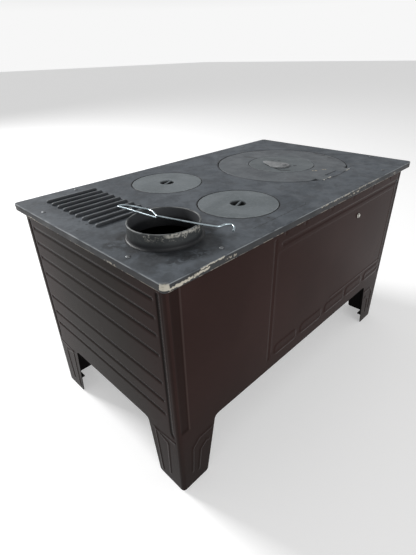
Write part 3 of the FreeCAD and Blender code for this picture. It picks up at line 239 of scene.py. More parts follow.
def offset_loop(loop, inset):
    """The loop moved to its left by inset; a loop that runs anticlockwise shrinks."""
    moved = []
    count = len(loop)
    for i, (x, y) in enumerate(loop):
        ax, ay = loop[i - 1]
        bx, by = loop[(i + 1) % count]
        before = Vector((x - ax, y - ay)).normalized()
        after = Vector((bx - x, by - y)).normalized()
        left_before = Vector((-before.y, before.x))
        left_after = Vector((-after.y, after.x))
        middle = left_before + left_after
        middle.normalize()
        reach = inset / max(0.35, middle.dot(left_before))
        moved.append((x + middle.x * reach, y + middle.y * reach))
    return moved


def arc(x, y, radius, start, end, count):
    """Points on an arc, angles in degrees; in a plan (x, y), in a turned profile (radius, level)."""
    spots = [math.radians(start + (end - start) * step / count) for step in range(count + 1)]
    return [(x + radius * math.cos(a), y + radius * math.sin(a)) for a in spots]


def rounded_edge(low, high, edge):
    """(inset, level) pairs round the rim of a flat piece, from its top face to its bottom face."""
    under = min(edge, 1.0) * 0.6
    pairs = [(edge + 0.5, high)] + arc(edge, high - edge, edge, 90, 180, 4)
    return pairs + [(0.0, low + under), (under, low), (under + 0.5, low)]


def flat_piece(build, outer, holes, low, high, edge):
    """A flat piece with rounded edges. Every loop runs anticlockwise."""
    tops, bottoms = [], []
    for number, loop in enumerate([outer] + list(holes)):
        way = 1 if number == 0 else -1
        rings = [build.ring([(x, y, level) for x, y in offset_loop(loop, way * inset)])
                 for inset, level in rounded_edge(low, high, edge)]
        build.bridge(rings)
        tops.append(rings[0])
        bottoms.append(rings[-1])
    build.fill(tops)
    build.fill(bottoms, turned=True)


def round_loop(x, y, radius, count=128):
    return arc(x, y, radius, 0, 360, count)[:-1]


def soft_rectangle(low_x, high_x, low_y, high_y, radius, count=6):
    loop = []
    for cx, cy, start in ((high_x - radius, high_y - radius, 0), (low_x + radius, high_y - radius, 90),
                          (low_x + radius, low_y + radius, 180), (high_x - radius, low_y + radius, 270)):
        loop += arc(cx, cy, radius, start, start + 90, count)
    return loop


def soft_copy(name, edge):
    """A copy of a CAD node with small rounded edges."""
    source = nodes[name]
    obj = source.copy()
    obj.data = source.data.copy()
    obj.parent = None
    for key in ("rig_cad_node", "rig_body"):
        if key in obj:
            del obj[key]
    obj.name = name + "_look"
    bpy.context.scene.collection.objects.link(obj)
    clean_mesh(obj, flatten=True)
    if edge:
        bevel = obj.modifiers.new("edges", "BEVEL")
        bevel.width = edge * MM
        bevel.segments = 2
        bevel.limit_method = "ANGLE"
        bevel.angle_limit = math.radians(30)
        bevel.use_clamp_overlap = True
    weighted = obj.modifiers.new("normals", "WEIGHTED_NORMAL")
    weighted.keep_sharp = True
    obj.data.set_sharp_from_angle(angle=math.radians(180 if edge else 35))
    graph = bpy.context.evaluated_depsgraph_get()
    solid = bpy.data.meshes.new_from_object(obj.evaluated_get(graph))
    obj.modifiers.clear()
    obj.data = solid
    return obj


# ---------------------------------------------------------------- places on the plate and panels

RING = (-196, -5 + MID_Y, 172.5)                # centre and radius of the openings in the plate
LIDS = ((124, 114 + MID_Y, 84), (124, -114 + MID_Y, 84))
COLLAR = (329, 124 + MID_Y, 64.5)
COLLAR_TOP = 540
COLLAR_WALL = 4
CENTRE_LID = 88.5                               # radius of the lid in the ring
HINGE_X = -199
HINGE_Y = 152 + MID_Y
LUG_HALF = 69
TONGUE_HALF = 27
LUG_BACK = HINGE_Y + 11
RIB_COUNT = 9
RIB_START = -195 + MID_Y
RIB_PITCH = 24.7
RIB_X = (271, 391)
BACK_FACE = MID_Y + HALF_Y
PLATE_CORNER = (HALF_X - 2, BACK_FACE - 2)
END_GROOVES = (209, 243.5, 288, 351, 393, 428, 463)
GROOVE_REACH = 203
GROOVE_UPRIGHT = 218.5
SEAM = 227                                      # where the long panels' return ends, from the middle
CORNER_CHANNEL = (404, 419)


# ---------------------------------------------------------------- materials

class Paint:
    """A material with a few short ways to add nodes. Places and widths are millimetres."""

    def __init__(self, name, color, roughness, metallic=0.0, coat=0.0):
        self.material = bpy.data.materials.new(name)
        self.material.use_nodes = True
        self.tree = self.material.node_tree
        self.shader = self.tree.nodes["Principled BSDF"]
        self.set("Base Color", (*color, 1))
        self.set("Roughness", roughness)
        self.set("Metallic", metallic)
        self.set("Coat Weight", coat)
        self.set("Coat Roughness", 0.04)
        self.place = self.node("ShaderNodeTexCoord").outputs["Object"]

    def set(self, socket, value):
        self.shader.inputs[socket].default_value = value

    def node(self, kind, **values):
        made = self.tree.nodes.new(kind)
        for socket, value in values.items():
            self.feed(made.inputs[socket.replace("_", " ")], value)
        return made

    def feed(self, socket, value):
        """Give a socket a plain value, or link another node's output to it."""
        if isinstance(value, bpy.types.NodeSocket):
            self.tree.links.new(value, socket)
        else:
            socket.default_value = value

    def noise(self, scale, detail=4, distortion=0.0):
        return self.node("ShaderNodeTexNoise", Scale=scale, Detail=detail, Distortion=distortion,
                         Vector=self.place).outputs["Fac"]

    def remap(self, value, low, high, to_low=0.0, to_high=1.0):
        made = self.node("ShaderNodeMapRange", Value=value, From_Min=low, From_Max=high,
                         To_Min=to_low, To_Max=to_high)
        made.interpolation_type = "SMOOTHSTEP"
        return made.outputs["Result"]

    def patches(self, scale, detail, low, high, distortion=0.0):
        """Cloudy spots: noise pushed towards 0 and 1."""
        return self.remap(self.noise(scale, detail, distortion), low, high)

    def math(self, operation, *values):
        made = self.node("ShaderNodeMath")
        made.operation = operation
        for socket, value in zip(made.inputs, values):
            self.feed(socket, value)
        return made.outputs["Value"]

    def vector(self, operation, *values):
        """Vector arithmetic; dot products and lengths give a plain number."""
        made = self.node("ShaderNodeVectorMath")
        made.operation = operation
        for socket, value in zip(made.inputs, values):
            self.feed(socket, value)
        return made.outputs["Value" if operation in ("DOT_PRODUCT", "LENGTH") else "Vector"]

    def mix(self, factor, first, second):
        """A colour between two, each a colour or another node's output."""
        made = self.node("ShaderNodeMix", Factor=factor)
        made.data_type = "RGBA"
        for socket, value in ((made.inputs[6], first), (made.inputs[7], second)):
            self.feed(socket, (*value, 1) if isinstance(value, tuple) else value)
        return made.outputs[2]

    def bump(self, height, strength, distance):
        made = self.node("ShaderNodeBump", Strength=strength, Distance=distance * MM, Height=height)
        self.feed(self.shader.inputs["Normal"], made.outputs["Normal"])

    def color(self, value):
        self.feed(self.shader.inputs["Base Color"], value)

    def over(self, mask, color, share=1.0):
        """Lay a colour over what the base colour is so far."""
        under = self.shader.inputs["Base Color"].links[0].from_socket
        self.color(self.mix(self.math("MULTIPLY", mask, share), under, color))

    def axes(self):
        return self.node("ShaderNodeSeparateXYZ", Vector=self.place).outputs

    def above(self, value, low, high):
        """0 below low and 1 above high."""
        return self.remap(value, low * MM, high * MM)

    def below(self, value, low, high):
        """1 below low and 0 above high."""
        return self.remap(value, low * MM, high * MM, 1.0, 0.0)

    def band(self, value, low, high, soft, unit=MM):
        """1 from low to high, with soft edges outside."""
        rise = self.remap(value, (low - soft) * unit, low * unit)
        return self.all_of(rise, self.remap(value, high * unit, (high + soft) * unit, 1.0, 0.0))

    def flat(self, first, second):
        """The place along two axes."""
        axes = self.axes()
        return self.node("ShaderNodeCombineXYZ", X=axes[first], Y=axes[second]).outputs["Vector"]

    def ragged(self, first, second, wobble, grain=90):
        """The place along two axes, shifted by up to wobble so that edges turn ragged."""
        shift = self.node("ShaderNodeCombineXYZ")
        for axis, scale in (("X", grain), ("Y", grain * 1.3)):
            way = self.remap(self.noise(scale, 3), 0.3, 0.7, -wobble * MM, wobble * MM)
            self.feed(shift.inputs[axis], way)
        return self.vector("ADD", self.flat(first, second), shift.outputs["Vector"])

    def stroke(self, place, start, end, half, soft):
        """1 within half a width of the straight line between two spots, 0 further off."""
        run = Vector((end[0] - start[0], end[1] - start[1])) * MM
        step = run / run.length_squared
        away = self.vector("SUBTRACT", place, (start[0] * MM, start[1] * MM, 0.0))
        along = self.vector("DOT_PRODUCT", away, (step.x, step.y, 0.0))
        along = self.math("MINIMUM", self.math("MAXIMUM", along, 0.0), 1.0)
        reach = self.node("ShaderNodeCombineXYZ", X=self.math("MULTIPLY", along, run.x),
                          Y=self.math("MULTIPLY", along, run.y))
        distance = self.vector("LENGTH", self.vector("SUBTRACT", away, reach.outputs["Vector"]))
        return self.below(distance, half, half + soft)

    def strokes(self, place, *rows):
        """Several strokes, each (start, end, half, soft)."""
        return self.any_of(*(self.stroke(place, *row) for row in rows))

    def path(self, place, spots, half, soft):
        return self.strokes(place, *((start, end, half, soft) for start, end in zip(spots, spots[1:])))

    def spot(self, place, middle, half, soft):
        away = self.vector("SUBTRACT", place, (middle[0] * MM, middle[1] * MM, 0.0))
        return self.below(self.vector("LENGTH", away), half, half + soft)

    def turned(self, middle):
        """Distance and direction (degrees) from an upright axis."""
        place = self.vector("SUBTRACT", self.flat("X", "Y"), (middle[0] * MM, middle[1] * MM, 0.0))
        parts = self.node("ShaderNodeSeparateXYZ", Vector=place)
        angle = self.math("ARCTAN2", parts.outputs["Y"], parts.outputs["X"])
        return self.vector("LENGTH", place), self.math("MULTIPLY", angle, 180 / math.pi)

    def combined(self, operation, masks):
        whole = masks[0]
        for mask in masks[1:]:
            whole = self.math(operation, whole, mask)
        return whole

    def all_of(self, *masks):
        return self.combined("MULTIPLY", masks)

    def any_of(self, *masks):
        return self.combined("MAXIMUM", masks)


BROWN = (0.027, 0.0150, 0.0135)
REFLECTION_GREY_BROWN = (0.0150, 0.0125, 0.0100)
SHADE_BROWN = (0.012, 0.009, 0.008)
CHANNEL_SHADE_BROWN = (0.012, 0.007, 0.006)
CHANNEL_HIGHLIGHT_BROWN = (0.060, 0.045, 0.041)
GROOVE_SHADE = (0.007, 0.005, 0.0045)
GROUND_COAT = (0.006, 0.0055, 0.0055)
WORN = (0.34, 0.31, 0.26)         # bare, slightly rusty metal at chips and edges
BARE = (0.46, 0.43, 0.36)
LUG_WEAR = (0.55, 0.53, 0.48)
RUST = (0.42, 0.36, 0.26)
SOOT = (0.022, 0.023, 0.025)
HEAVY_SOOT = (0.020, 0.023, 0.027)
FOOT_SOOT_AND_SHADE = (0.016, 0.017, 0.019)
SHADOW_AND_SOOT_DARK = (0.010, 0.010, 0.012)
GAP_SHADE = (0.006, 0.006, 0.007)
RIM_SHADE = (0.019, 0.019, 0.020)
HIGHLIGHT_GREY = (0.30, 0.32, 0.33)
PLATE_TONES = (0.058, 0.067, 0.078), (0.088, 0.100, 0.114)
RING_TONES = (0.072, 0.080, 0.089), (0.098, 0.109, 0.119)
LID_TONES = (0.112, 0.128, 0.136), (0.142, 0.160, 0.170)
COLLAR_TONES = (0.030, 0.033, 0.034), (0.046, 0.050, 0.052)


def toned(color, factor):
    return tuple(channel * factor for channel in color)


def cast_iron(name, tones, roughness):
    """Cloudy between a dark and a light tone, with fine paler specks and a sandy surface."""
    dark, light = tones
    paint = Paint(name, light, roughness)
    paint.set("Specular IOR Level", 0.3)
    base = paint.mix(paint.patches(11, 6, 0.38, 0.62, 0.8), dark, light)
    specks = paint.math("MULTIPLY", paint.patches(170, 3, 0.45, 0.72), 0.35)
    paint.color(paint.mix(specks, base, toned(light, 1.35)))
    shine = paint.remap(paint.noise(30, 4), 0.3, 0.7, roughness - 0.08, roughness + 0.1)
    paint.feed(paint.shader.inputs["Roughness"], shine)
    paint.bump(paint.noise(900, 3), 0.25, 0.25)
    return paint


def enamel(name, color):
    """Smooth glass coat, a little wavy and a little uneven in tone."""
    paint = Paint(name, color, 0.2)
    paint.set("Specular IOR Level", 0.02)
    fine = paint.math("MULTIPLY", paint.noise(420, 2), 0.2)
    paint.bump(paint.math("ADD", paint.noise(70, 2), fine), 0.12, 0.5)
    paint.color(paint.mix(paint.patches(5, 3, 0.35, 0.7), color, toned(color, 1.2)))
    return paint


def bare_metal(name, color, roughness):
    paint = Paint(name, color, roughness, metallic=1.0)
    paint.color(paint.mix(paint.patches(55, 5, 0.42, 0.7), color, toned(color, 0.55)))
    paint.bump(paint.noise(700, 3), 0.15, 0.1)
    return paint.material


def body_paint():
    """The panels' brown enamel: a greyer painted reflection and painted shade on the ends, painted shade
    towards the bottom, in the grooves, the corner channels and the seams, a painted highlight beside each
    channel, and a black inside.
    """
    paint = enamel("brown_enamel", BROWN)
    axes = paint.axes()
    level = axes["Z"]
    reach = paint.math("ABSOLUTE", axes["X"])
    across = paint.math("ABSOLUTE", paint.math("SUBTRACT", axes["Y"], MID_Y * MM))
    is_end = paint.above(reach, FACE_X - 2.6, FACE_X - 2.4)
    is_long_side = paint.above(across, FACE_Y - 4, FACE_Y - 3)
    # painted reflection: a greyer tint over the middle of each end face
    paint.over(paint.all_of(is_end, paint.below(across, 80, 210)), REFLECTION_GREY_BROWN, 0.8)
    # painted shade over the whole of each end face
    paint.over(is_end, SHADE_BROWN, 0.35)
    # painted shade, darker towards the floor
    paint.over(paint.below(level, 20, 260), SHADE_BROWN, 0.75)
    # painted shade in the end faces' grooves and upright grooves
    lines = paint.any_of(*(paint.band(level, groove - 1.6, groove + 2.4, 1.4) for groove in END_GROOVES))
    grooves = paint.all_of(lines, paint.below(across, GROOVE_REACH + 1.5, GROOVE_REACH + 3))
    upright = paint.all_of(paint.band(across, GROOVE_UPRIGHT - 3.5, GROOVE_UPRIGHT + 3, 1.5),
                           paint.band(level, 160, 478, 3))
    paint.over(paint.all_of(paint.any_of(grooves, upright), is_end), GROOVE_SHADE, 0.85)
    beside_corner = paint.all_of(paint.band(level, 172, 486, 4), is_long_side)
    low, high = CORNER_CHANNEL
    # painted shade in the upright channel beside each corner
    paint.over(paint.all_of(paint.band(reach, low - 0.5, high + 0.5, 2), beside_corner), CHANNEL_SHADE_BROWN, 0.6)
    # painted highlight on the inner slope of the corner channel
    paint.over(paint.all_of(paint.band(reach, low - 5, low - 2.5, 0.8), beside_corner), CHANNEL_HIGHLIGHT_BROWN, 0.45)
    # painted shade along the seam where each long panel's return ends
    paint.over(paint.all_of(paint.band(across, SEAM - 0.4, SEAM + 0.6, 0.6), is_end), GROOVE_SHADE, 0.85)
    outward = paint.vector("DOT_PRODUCT", paint.node("ShaderNodeTexCoord").outputs["Normal"],
                           paint.vector("SUBTRACT", paint.flat("X", "Y"), (0.0, MID_Y * MM, 0.0)))
    paint.over(paint.below(outward, -20, -10), GROUND_COAT, 0.9)
    return paint.material


def sooty_top(paint, top, is_top):
    """Smoke stains, most of them round the flue collar."""
    from_collar = paint.turned(COLLAR)[0]
    soot = paint.patches(34, 4, 0.42, 0.6)
    smears = paint.strokes(top, ((420, 110), (395, 140), 7, 9), ((392, 196), (320, 214), 9, 10),
                           ((385, 232), (330, 244), 6, 12))
    layers = [((paint.patches(48, 5, 0.46, 0.62, 0.6),), (0.040, 0.044, 0.050), 0.45),
              ((paint.band(from_collar, 60, 78, 12), soot), SOOT, 0.85),
              ((paint.below(from_collar, 75, 150), paint.patches(22, 4, 0.44, 0.58, 0.5)), SOOT, 0.6),
              ((smears, paint.patches(120, 5, 0.40, 0.54, 0.8)), HEAVY_SOOT, 0.8)]
    for middle, half in (((352, 62), 10), ((345, 236), 12), ((420, 215), 12), ((405, 120), 8)):
        layers.append(((paint.spot(top, middle, half, 26), soot), SOOT, 0.55))
    for masks, color, share in layers:
        paint.over(paint.all_of(is_top, *masks), color, share)


def dark_gaps(paint):
    """Painted shade in the gap round the ring and the lids, wider towards the flue end."""
    for x, y, radius in (RING, *LIDS):
        distance, angle = paint.turned((x, y))
        start = radius + 0.2
        # painted shade just outside each opening, and a wider band of it towards the flue end
        paint.over(paint.band(distance, start, radius + 1.9, 0.6), GAP_SHADE, 0.9)
        wide = paint.band(distance, start, radius + radius / 60 + 1.8, 1.2)
        paint.over(paint.all_of(wide, paint.band(angle, -75, 80, 14, 1)), SHADOW_AND_SOOT_DARK, 0.7)


def rib_marks(paint, top, axes, is_top):
    """Soot and painted shade on the +Y side of each rib, a painted highlight on its ridge, and a dot beyond
    its end.
    """
    along = paint.band(axes["X"], *RIB_X, 3)
    for number in range(RIB_COUNT):
        y = RIB_START + RIB_PITCH * number
        paint.over(paint.all_of(is_top, paint.spot(top, (RIB_X[1] + 6, y), 1.4, 1.2)), SOOT, 0.8)
        # soot and painted shade on the +Y side of each rib
        paint.over(paint.all_of(is_top, along, paint.band(axes["Y"], y + 0.8, y + 4.2, 1.6)), SOOT, 0.7)
        # painted highlight on each rib's -Y ridge
        ridge = paint.band(axes["Y"], y - 3.8, y - 1.2, 1.0)
        paint.over(paint.all_of(along, ridge, paint.above(axes["Z"], 514, 515.5)), HIGHLIGHT_GREY, 0.7)


def rim_chips(paint, top, axes):
    """Bare metal where the rim has been knocked, and a painted highlight along its upper edge."""
    level = axes["Z"]
    rim = paint.ragged("X", "Z", 1.3, 160)
    end = paint.ragged("Y", "Z", 1.3, 160)
    is_back = paint.above(axes["Y"], BACK_FACE - 1, BACK_FACE - 0.3)
    is_end = paint.above(axes["X"], HALF_X - 1, HALF_X - 0.3)
    flecks = paint.patches(150, 3, 0.44, 0.52)
    bare = paint.patches(70, 3, 0.30, 0.42)
    long_chip = paint.strokes(rim, ((428, 501.5), (352, 504.5), 1.7, 0.7),
                              ((369, 509.5), (319, 510.0), 0.8, 0.6))
    corner_chip = paint.all_of(paint.spot(top, PLATE_CORNER, 7, 2), paint.band(level, 502, 511.2, 1))
    back_chips = paint.strokes(rim, ((315, 504), (291, 504), 1.2, 0.7),
                               ((31, 509.8), (-240, 510.2), 0.9, 0.7),
                               ((-80, 503), (-131, 504), 1.0, 0.7),
                               ((-325, 503), (-338, 503), 1.0, 0.7))
    end_chips = paint.strokes(end, ((128, 499.5), (156, 499.5), 0.9, 0.7),
                              ((-160, 499), (-120, 499), 0.8, 0.7))
    corner = paint.spot(paint.ragged("X", "Y", 0.8), PLATE_CORNER, 2.4, 0.8)
    # painted highlight along the rim's upper edge
    upper_edge = paint.all_of(paint.band(level, 510.4, 511.8, 0.4), paint.any_of(is_back, is_end))
    for masks, color, share in (
            ((is_back, long_chip, bare), BARE, 0.95),
            ((corner_chip, bare), BARE, 0.9),
            ((is_back, back_chips, flecks), WORN, 0.95),
            ((paint.band(level, 496.8, 498.4, 0.5), paint.patches(60, 4, 0.48, 0.56)), WORN, 0.8),
            ((is_end, end_chips, flecks), WORN, 0.95),
            ((corner, paint.above(level, 503, 506), flecks), WORN, 0.9),
            ((upper_edge, paint.patches(25, 3, 0.36, 0.55)), HIGHLIGHT_GREY, 0.55)):
        paint.over(paint.all_of(*masks), color, share)


def plate_paint():
    """Blackened casting with soot round the collar, a scratch, chips along its rim, and painted shade and
    highlights at the gaps, the ribs and the rim.
    """
    paint = cast_iron("plate_iron", PLATE_TONES, 0.6)
    top = paint.ragged("X", "Y", 1.2)
    axes = paint.axes()
    is_top = paint.above(axes["Z"], 511.2, 511.7)
    sooty_top(paint, top, is_top)
    dark_gaps(paint)
    scratch = paint.path(top, ((208, 244), (40, 244), (31, 239), (35, 232)), 0.5, 0.8)
    paint.over(paint.all_of(is_top, scratch), SOOT, 0.7)
    for middle in ((423, 12), (148, 231), (-285, 176)):
        paint.over(paint.spot(top, middle, 1.6, 1.0), SOOT)
    rib_marks(paint, top, axes, is_top)
    # painted shade on the plate's sides and underside, below its top face
    paint.over(paint.below(axes["Z"], 509, 510.8), RIM_SHADE, 0.9)
    rim_chips(paint, top, axes)
    return paint.material


def collar_paint():
    """Darker than the plate: sooty inside, soot and painted shade round the foot, with chips near the mouth.
    """
    paint = cast_iron("collar_iron", COLLAR_TONES, 0.5)
    level = paint.axes()["Z"]
    distance, angle = paint.turned(COLLAR)
    radius = COLLAR[2]
    outside = paint.above(distance, radius - 1.1, radius - 0.5)
    inside = paint.below(distance, radius - COLLAR_WALL - 0.1, radius - COLLAR_WALL + 0.7)
    flecks = paint.all_of(paint.patches(210, 5, 0.50, 0.58, 1.2), paint.patches(45, 3, 0.42, 0.6))
    chips = paint.all_of(paint.band(angle, 20, 120, 14, 1), paint.band(level, 531, 538.5, 6),
                         outside, flecks)
    heavy = paint.all_of(paint.band(angle, 58, 104, 10, 1), paint.band(level, 534.5, 539.5, 3), outside,
                         paint.patches(120, 4, 0.42, 0.56, 1.0))
    mouth = paint.all_of(paint.above(level, COLLAR_TOP - 0.9, COLLAR_TOP - 0.3),
                         paint.patches(40, 3, 0.35, 0.6))
    below_mouth = paint.below(level, COLLAR_TOP - 2.5, COLLAR_TOP - 0.5)
    for mask, color, share in ((paint.any_of(chips, heavy), (0.42, 0.41, 0.37), 0.85),
                               (mouth, (0.24, 0.25, 0.25), 0.7),
                               (paint.all_of(inside, below_mouth), (0.05, 0.052, 0.057), 0.85),
                               # soot and painted shade round the foot
                               (paint.below(level, 518, 525), FOOT_SOOT_AND_SHADE, 1.0)):
        paint.over(mask, color, share)
    return paint.material


def dark_sides(paint):
    """The edge of a ring or lid below its worn upper face, darkened with painted shade."""
    # painted shade on the sides below the upper face
    paint.over(paint.below(paint.axes()["Z"], 508.5, 511), SOOT, 0.85)
    return paint.material


def ring_paint():
    """As the plate, with worn lugs at the hinge, rust by the lid and a few sooty strokes."""
    paint = cast_iron("ring_iron", RING_TONES, 0.5)
    top = paint.ragged("X", "Y", 1.0)
    worn_y = LUG_BACK - 1.4
    lugs = paint.strokes(top, ((-131, worn_y), (-170, worn_y), 0.8, 0.8),
                         ((-229, worn_y), (-267, worn_y), 0.8, 0.8))
    paint.over(paint.all_of(lugs, paint.patches(90, 3, 0.38, 0.5)), LUG_WEAR, 0.95)
    for middle in ((-188, 122), (-194, 127), (-214, 136), (-219, 140)):
        paint.over(paint.spot(top, middle, 2.0, 1.4), RUST, 0.85)
    marks = paint.strokes(top, ((-195, -112), (-204, -76), 3.5, 3), ((-350, 60), (-362, 20), 2.5, 3),
                          ((-330, 95), (-344, 76), 2, 3))
    paint.over(paint.all_of(marks, paint.patches(60, 3, 0.4, 0.55)), SOOT, 0.7)
    return dark_sides(paint)


def lid_paint(name, middle, radius, worn_angles, tone=1.0, line=(), dots=()):
    """A paler casting, with a speckled worn band along one part of its edge, painted shade round its rim, and
    where given a painted shadow line and soot dots.
    """
    paint = cast_iron(name, [toned(color, tone) for color in LID_TONES], 0.55)
    distance, angle = paint.turned(middle)
    worn = paint.all_of(paint.above(distance, radius - 4, radius - 1.5),
                        paint.band(angle, *worn_angles, 25, 1), paint.patches(110, 4, 0.46, 0.56))
    paint.over(worn, (0.27, 0.29, 0.30), 0.45)
    # painted shade on the outermost edge, next to the gap
    paint.over(paint.above(distance, radius - 1.0, radius - 0.2), (0.03, 0.032, 0.034), 0.8)
    if line:
        top = paint.ragged("X", "Y", 1.0)
        spots = [paint.spot(top, dot, 3.0, 3.0) for dot in dots]
        # the line is a painted shadow beside the swivel cover's edge; the dots are soot
        paint.over(paint.any_of(paint.path(top, line, 1.8, 1.5), *spots), SHADOW_AND_SOOT_DARK, 0.8)
    return dark_sides(paint)


fire_iron = cast_iron("fire_iron", ((0.018, 0.018, 0.019), (0.035, 0.034, 0.034)), 0.6).material
brown = body_paint()
door_brown = enamel("door_enamel", BROWN).material
grey_speckle = enamel("grey_speckle", (0.08, 0.08, 0.09)).material
steel = bare_metal("bare_steel", (0.55, 0.54, 0.50), 0.38)
dark_steel = bare_metal("dark_steel", (0.24, 0.25, 0.26), 0.45)
cover_steel = cast_iron("cover_steel", ((0.15, 0.155, 0.16), (0.25, 0.26, 0.265)), 0.5).material
wire_steel = bare_metal("bright_wire", (0.58, 0.68, 0.73), 0.28)
chrome = Paint("chrome", (0.82, 0.82, 0.83), 0.08, metallic=1.0).material
black_sheet = Paint("black_sheet", (0.018, 0.018, 0.018), 0.5).material
phenolic = Paint("phenolic", (0.015, 0.015, 0.016), 0.22, coat=0.4).material


# ---------------------------------------------------------------- cooking plate

SEAT_LEDGE = 9
EASE = 1                      # play between the plate's openings and the pieces in them
PLATE_ROUNDING = 9
RIM_THICKNESS = 6


def on_circle(x, radius, at_x):
    """Angle in degrees, on the +Y side, where the circle passes at_x."""
    return math.degrees(math.acos((at_x - x) / radius))


def ring_opening():
    """The hole for the ring, with pockets for its lugs and the plate's tongue between them."""
    x, y, radius = RING
    radius += EASE
    reach = LUG_BACK + 1.5
    right, left = HINGE_X + LUG_HALF + EASE, HINGE_X - LUG_HALF - EASE
    tongue_right, tongue_left = HINGE_X + TONGUE_HALF, HINGE_X - TONGUE_HALF
    tongue_y = HINGE_Y - 6.5
    half_chord = math.sqrt(radius ** 2 - (reach - y) ** 2)
    loop = arc(x, y, radius, on_circle(x, radius, left), 360 + on_circle(x, radius, right), 150)
    loop += [(right, reach)]
    loop += arc(x, y, radius, on_circle(x, radius, x + half_chord), on_circle(x, radius, tongue_right), 6)
    loop += [(tongue_right, tongue_y), (tongue_left, tongue_y)]
    loop += arc(x, y, radius, on_circle(x, radius, tongue_left), on_circle(x, radius, x - half_chord), 4)
    loop += [(left, reach)]
    return loop


def seat_profile(radius, low=RIM_LOW, top=PLATE_UNDER):
    """Cross-section of the ledge that carries a ring or a lid."""
    inner, wall, outer = radius - SEAT_LEDGE, radius + 1.2, radius + SEAT_LEDGE
    return [(inner, low), (outer, low), (outer, top + 1), (wall, top + 1), (wall, top), (inner, top)]


def rib(build, y):
    """A raised rib: a bar with a rounded back and rounded ends."""
    start, end = RIB_X
    half, height, sunk = 4.5, 5.4, 0.4
    turns, end_steps = 12, 6
    squareness = 0.6
    shares = [step / end_steps for step in range(end_steps)]
    places = [(half * (1 - math.cos(math.pi / 2 * share)), share) for share in shares]
    rows = [(start + reach, share) for reach, share in places]
    rows += [(start + half + (end - start - 2 * half) * step / 24, 1.0) for step in range(25)]
    rows += [(end - reach, share) for reach, share in reversed(places)]
    rings = []
    for x, share in rows:
        size = math.sqrt(max(0.02, 1 - (1 - share) ** 2))
        row = []
        for turn in range(turns + 1):
            angle = math.pi * turn / turns
            across = math.copysign(abs(math.cos(angle)) ** squareness, math.cos(angle))
            rise = size * math.sin(angle) ** squareness if 0 < turn < turns else 0.0
            row.append((x, y + half * size * across, PLATE_TOP - sunk + (height + sunk) * rise))
        rings.append(build.ring(row))
    build.bridge(rings, closed=False)


def make_plate():
    build = Build()
    outer = soft_rectangle(-HALF_X, HALF_X, MID_Y - HALF_Y, BACK_FACE, PLATE_ROUNDING, 8)
    holes = [ring_opening()]
    holes += [round_loop(x, y, radius + EASE) for x, y, radius in LIDS]
    holes.append(round_loop(*COLLAR))
    flat_piece(build, outer, holes, PLATE_UNDER, PLATE_TOP, 1.6)
    inner = offset_loop(outer, RIM_THICKNESS)
    rim = ((outer, PLATE_UNDER + 0.6), (outer, RIM_LOW + 1), (offset_loop(outer, 1), RIM_LOW),
           (offset_loop(outer, RIM_THICKNESS - 1), RIM_LOW), (inner, RIM_LOW + 1), (inner, PLATE_UNDER + 0.6))
    build.bridge([build.ring([(x, y, level) for x, y in loop]) for loop, level in rim])
    for x, y, radius in LIDS:
        build.lathe(seat_profile(radius), x, y)
    x, y, radius = RING
    left = on_circle(x, radius + EASE, HINGE_X - LUG_HALF - 4)
    right = on_circle(x, radius + EASE, HINGE_X + LUG_HALF + 4)
    build.lathe(seat_profile(radius), x, y, left, right + 360)
    for number in range(RIB_COUNT):
        rib(build, RIB_START + RIB_PITCH * number)
    return to_object("cooking_plate", build)


dress(make_plate(), "root", plate_paint(), "cast_plate", "top_plate")


def make_collar():
    """The flue collar with its foot fillet and rounded mouth."""
    x, y, radius = COLLAR
    bore, foot, lip = radius - COLLAR_WALL, radius + 5, COLLAR_WALL / 2
    fillet, foot_edge = 4.6, PLATE_TOP + 0.4
    profile = [(bore, PLATE_UNDER), (radius, PLATE_UNDER), (radius, PLATE_TOP - 0.5),
               (foot, PLATE_TOP - 0.5), (foot, foot_edge)]
    profile += arc(radius + 0.2 + fillet, foot_edge + fillet, fillet, 270, 180, 6)
    profile += [(radius - 0.4, COLLAR_TOP - 6), (radius, COLLAR_TOP - 3)]
    profile += arc(radius - lip, COLLAR_TOP - lip, lip, 0, 180, 6)
    build = Build()
    build.lathe(profile, x, y, sides=128)
    return to_object("flue_collar_look", build)


dress(make_collar(), "root", collar_paint(), "cast_plate", "flue_collar")


def make_ring():
    x, y, radius = RING
    low, high = PLATE_UNDER + 0.3, PLATE_TOP
    edge_y = HINGE_Y - 9.5
    right, left = HINGE_X + LUG_HALF, HINGE_X - LUG_HALF
    chamfer = 2
    half_chord = math.sqrt(radius ** 2 - (edge_y - y) ** 2)
    start, end = on_circle(x, radius, x - half_chord), on_circle(x, radius, x + half_chord)
    loop = arc(x, y, radius, start, 360 + end, 150)
    loop += [(right, edge_y), (right, LUG_BACK - chamfer), (right - chamfer, LUG_BACK)]
    notch, notch_y = TONGUE_HALF + EASE, HINGE_Y - 8.5
    loop += [(HINGE_X + notch, LUG_BACK), (HINGE_X + notch, notch_y)]
    loop += [(HINGE_X - notch, notch_y), (HINGE_X - notch, LUG_BACK)]
    loop += [(left + chamfer, LUG_BACK), (left, LUG_BACK - chamfer), (left, edge_y)]
    build = Build()
    flat_piece(build, loop, [round_loop(x, y, CENTRE_LID + EASE)], low, high, 1.4)
    seat_low = 498.4
    build.lathe(seat_profile(CENTRE_LID, seat_low, low), x, y)
    return to_object("ring_look", build)


dress(make_ring(), "ring", ring_paint(), "cast_plate", "large_ring")


def make_centre_lid():
    x, y = RING[:2]
    build = Build()
    slot = soft_rectangle(x + 14, x + 42, y - 14, y + 8, 2)
    flat_piece(build, round_loop(x, y, CENTRE_LID), [slot], PLATE_UNDER + 0.7, PLATE_TOP, 1.2)
    return to_object("centre_lid_look", build)


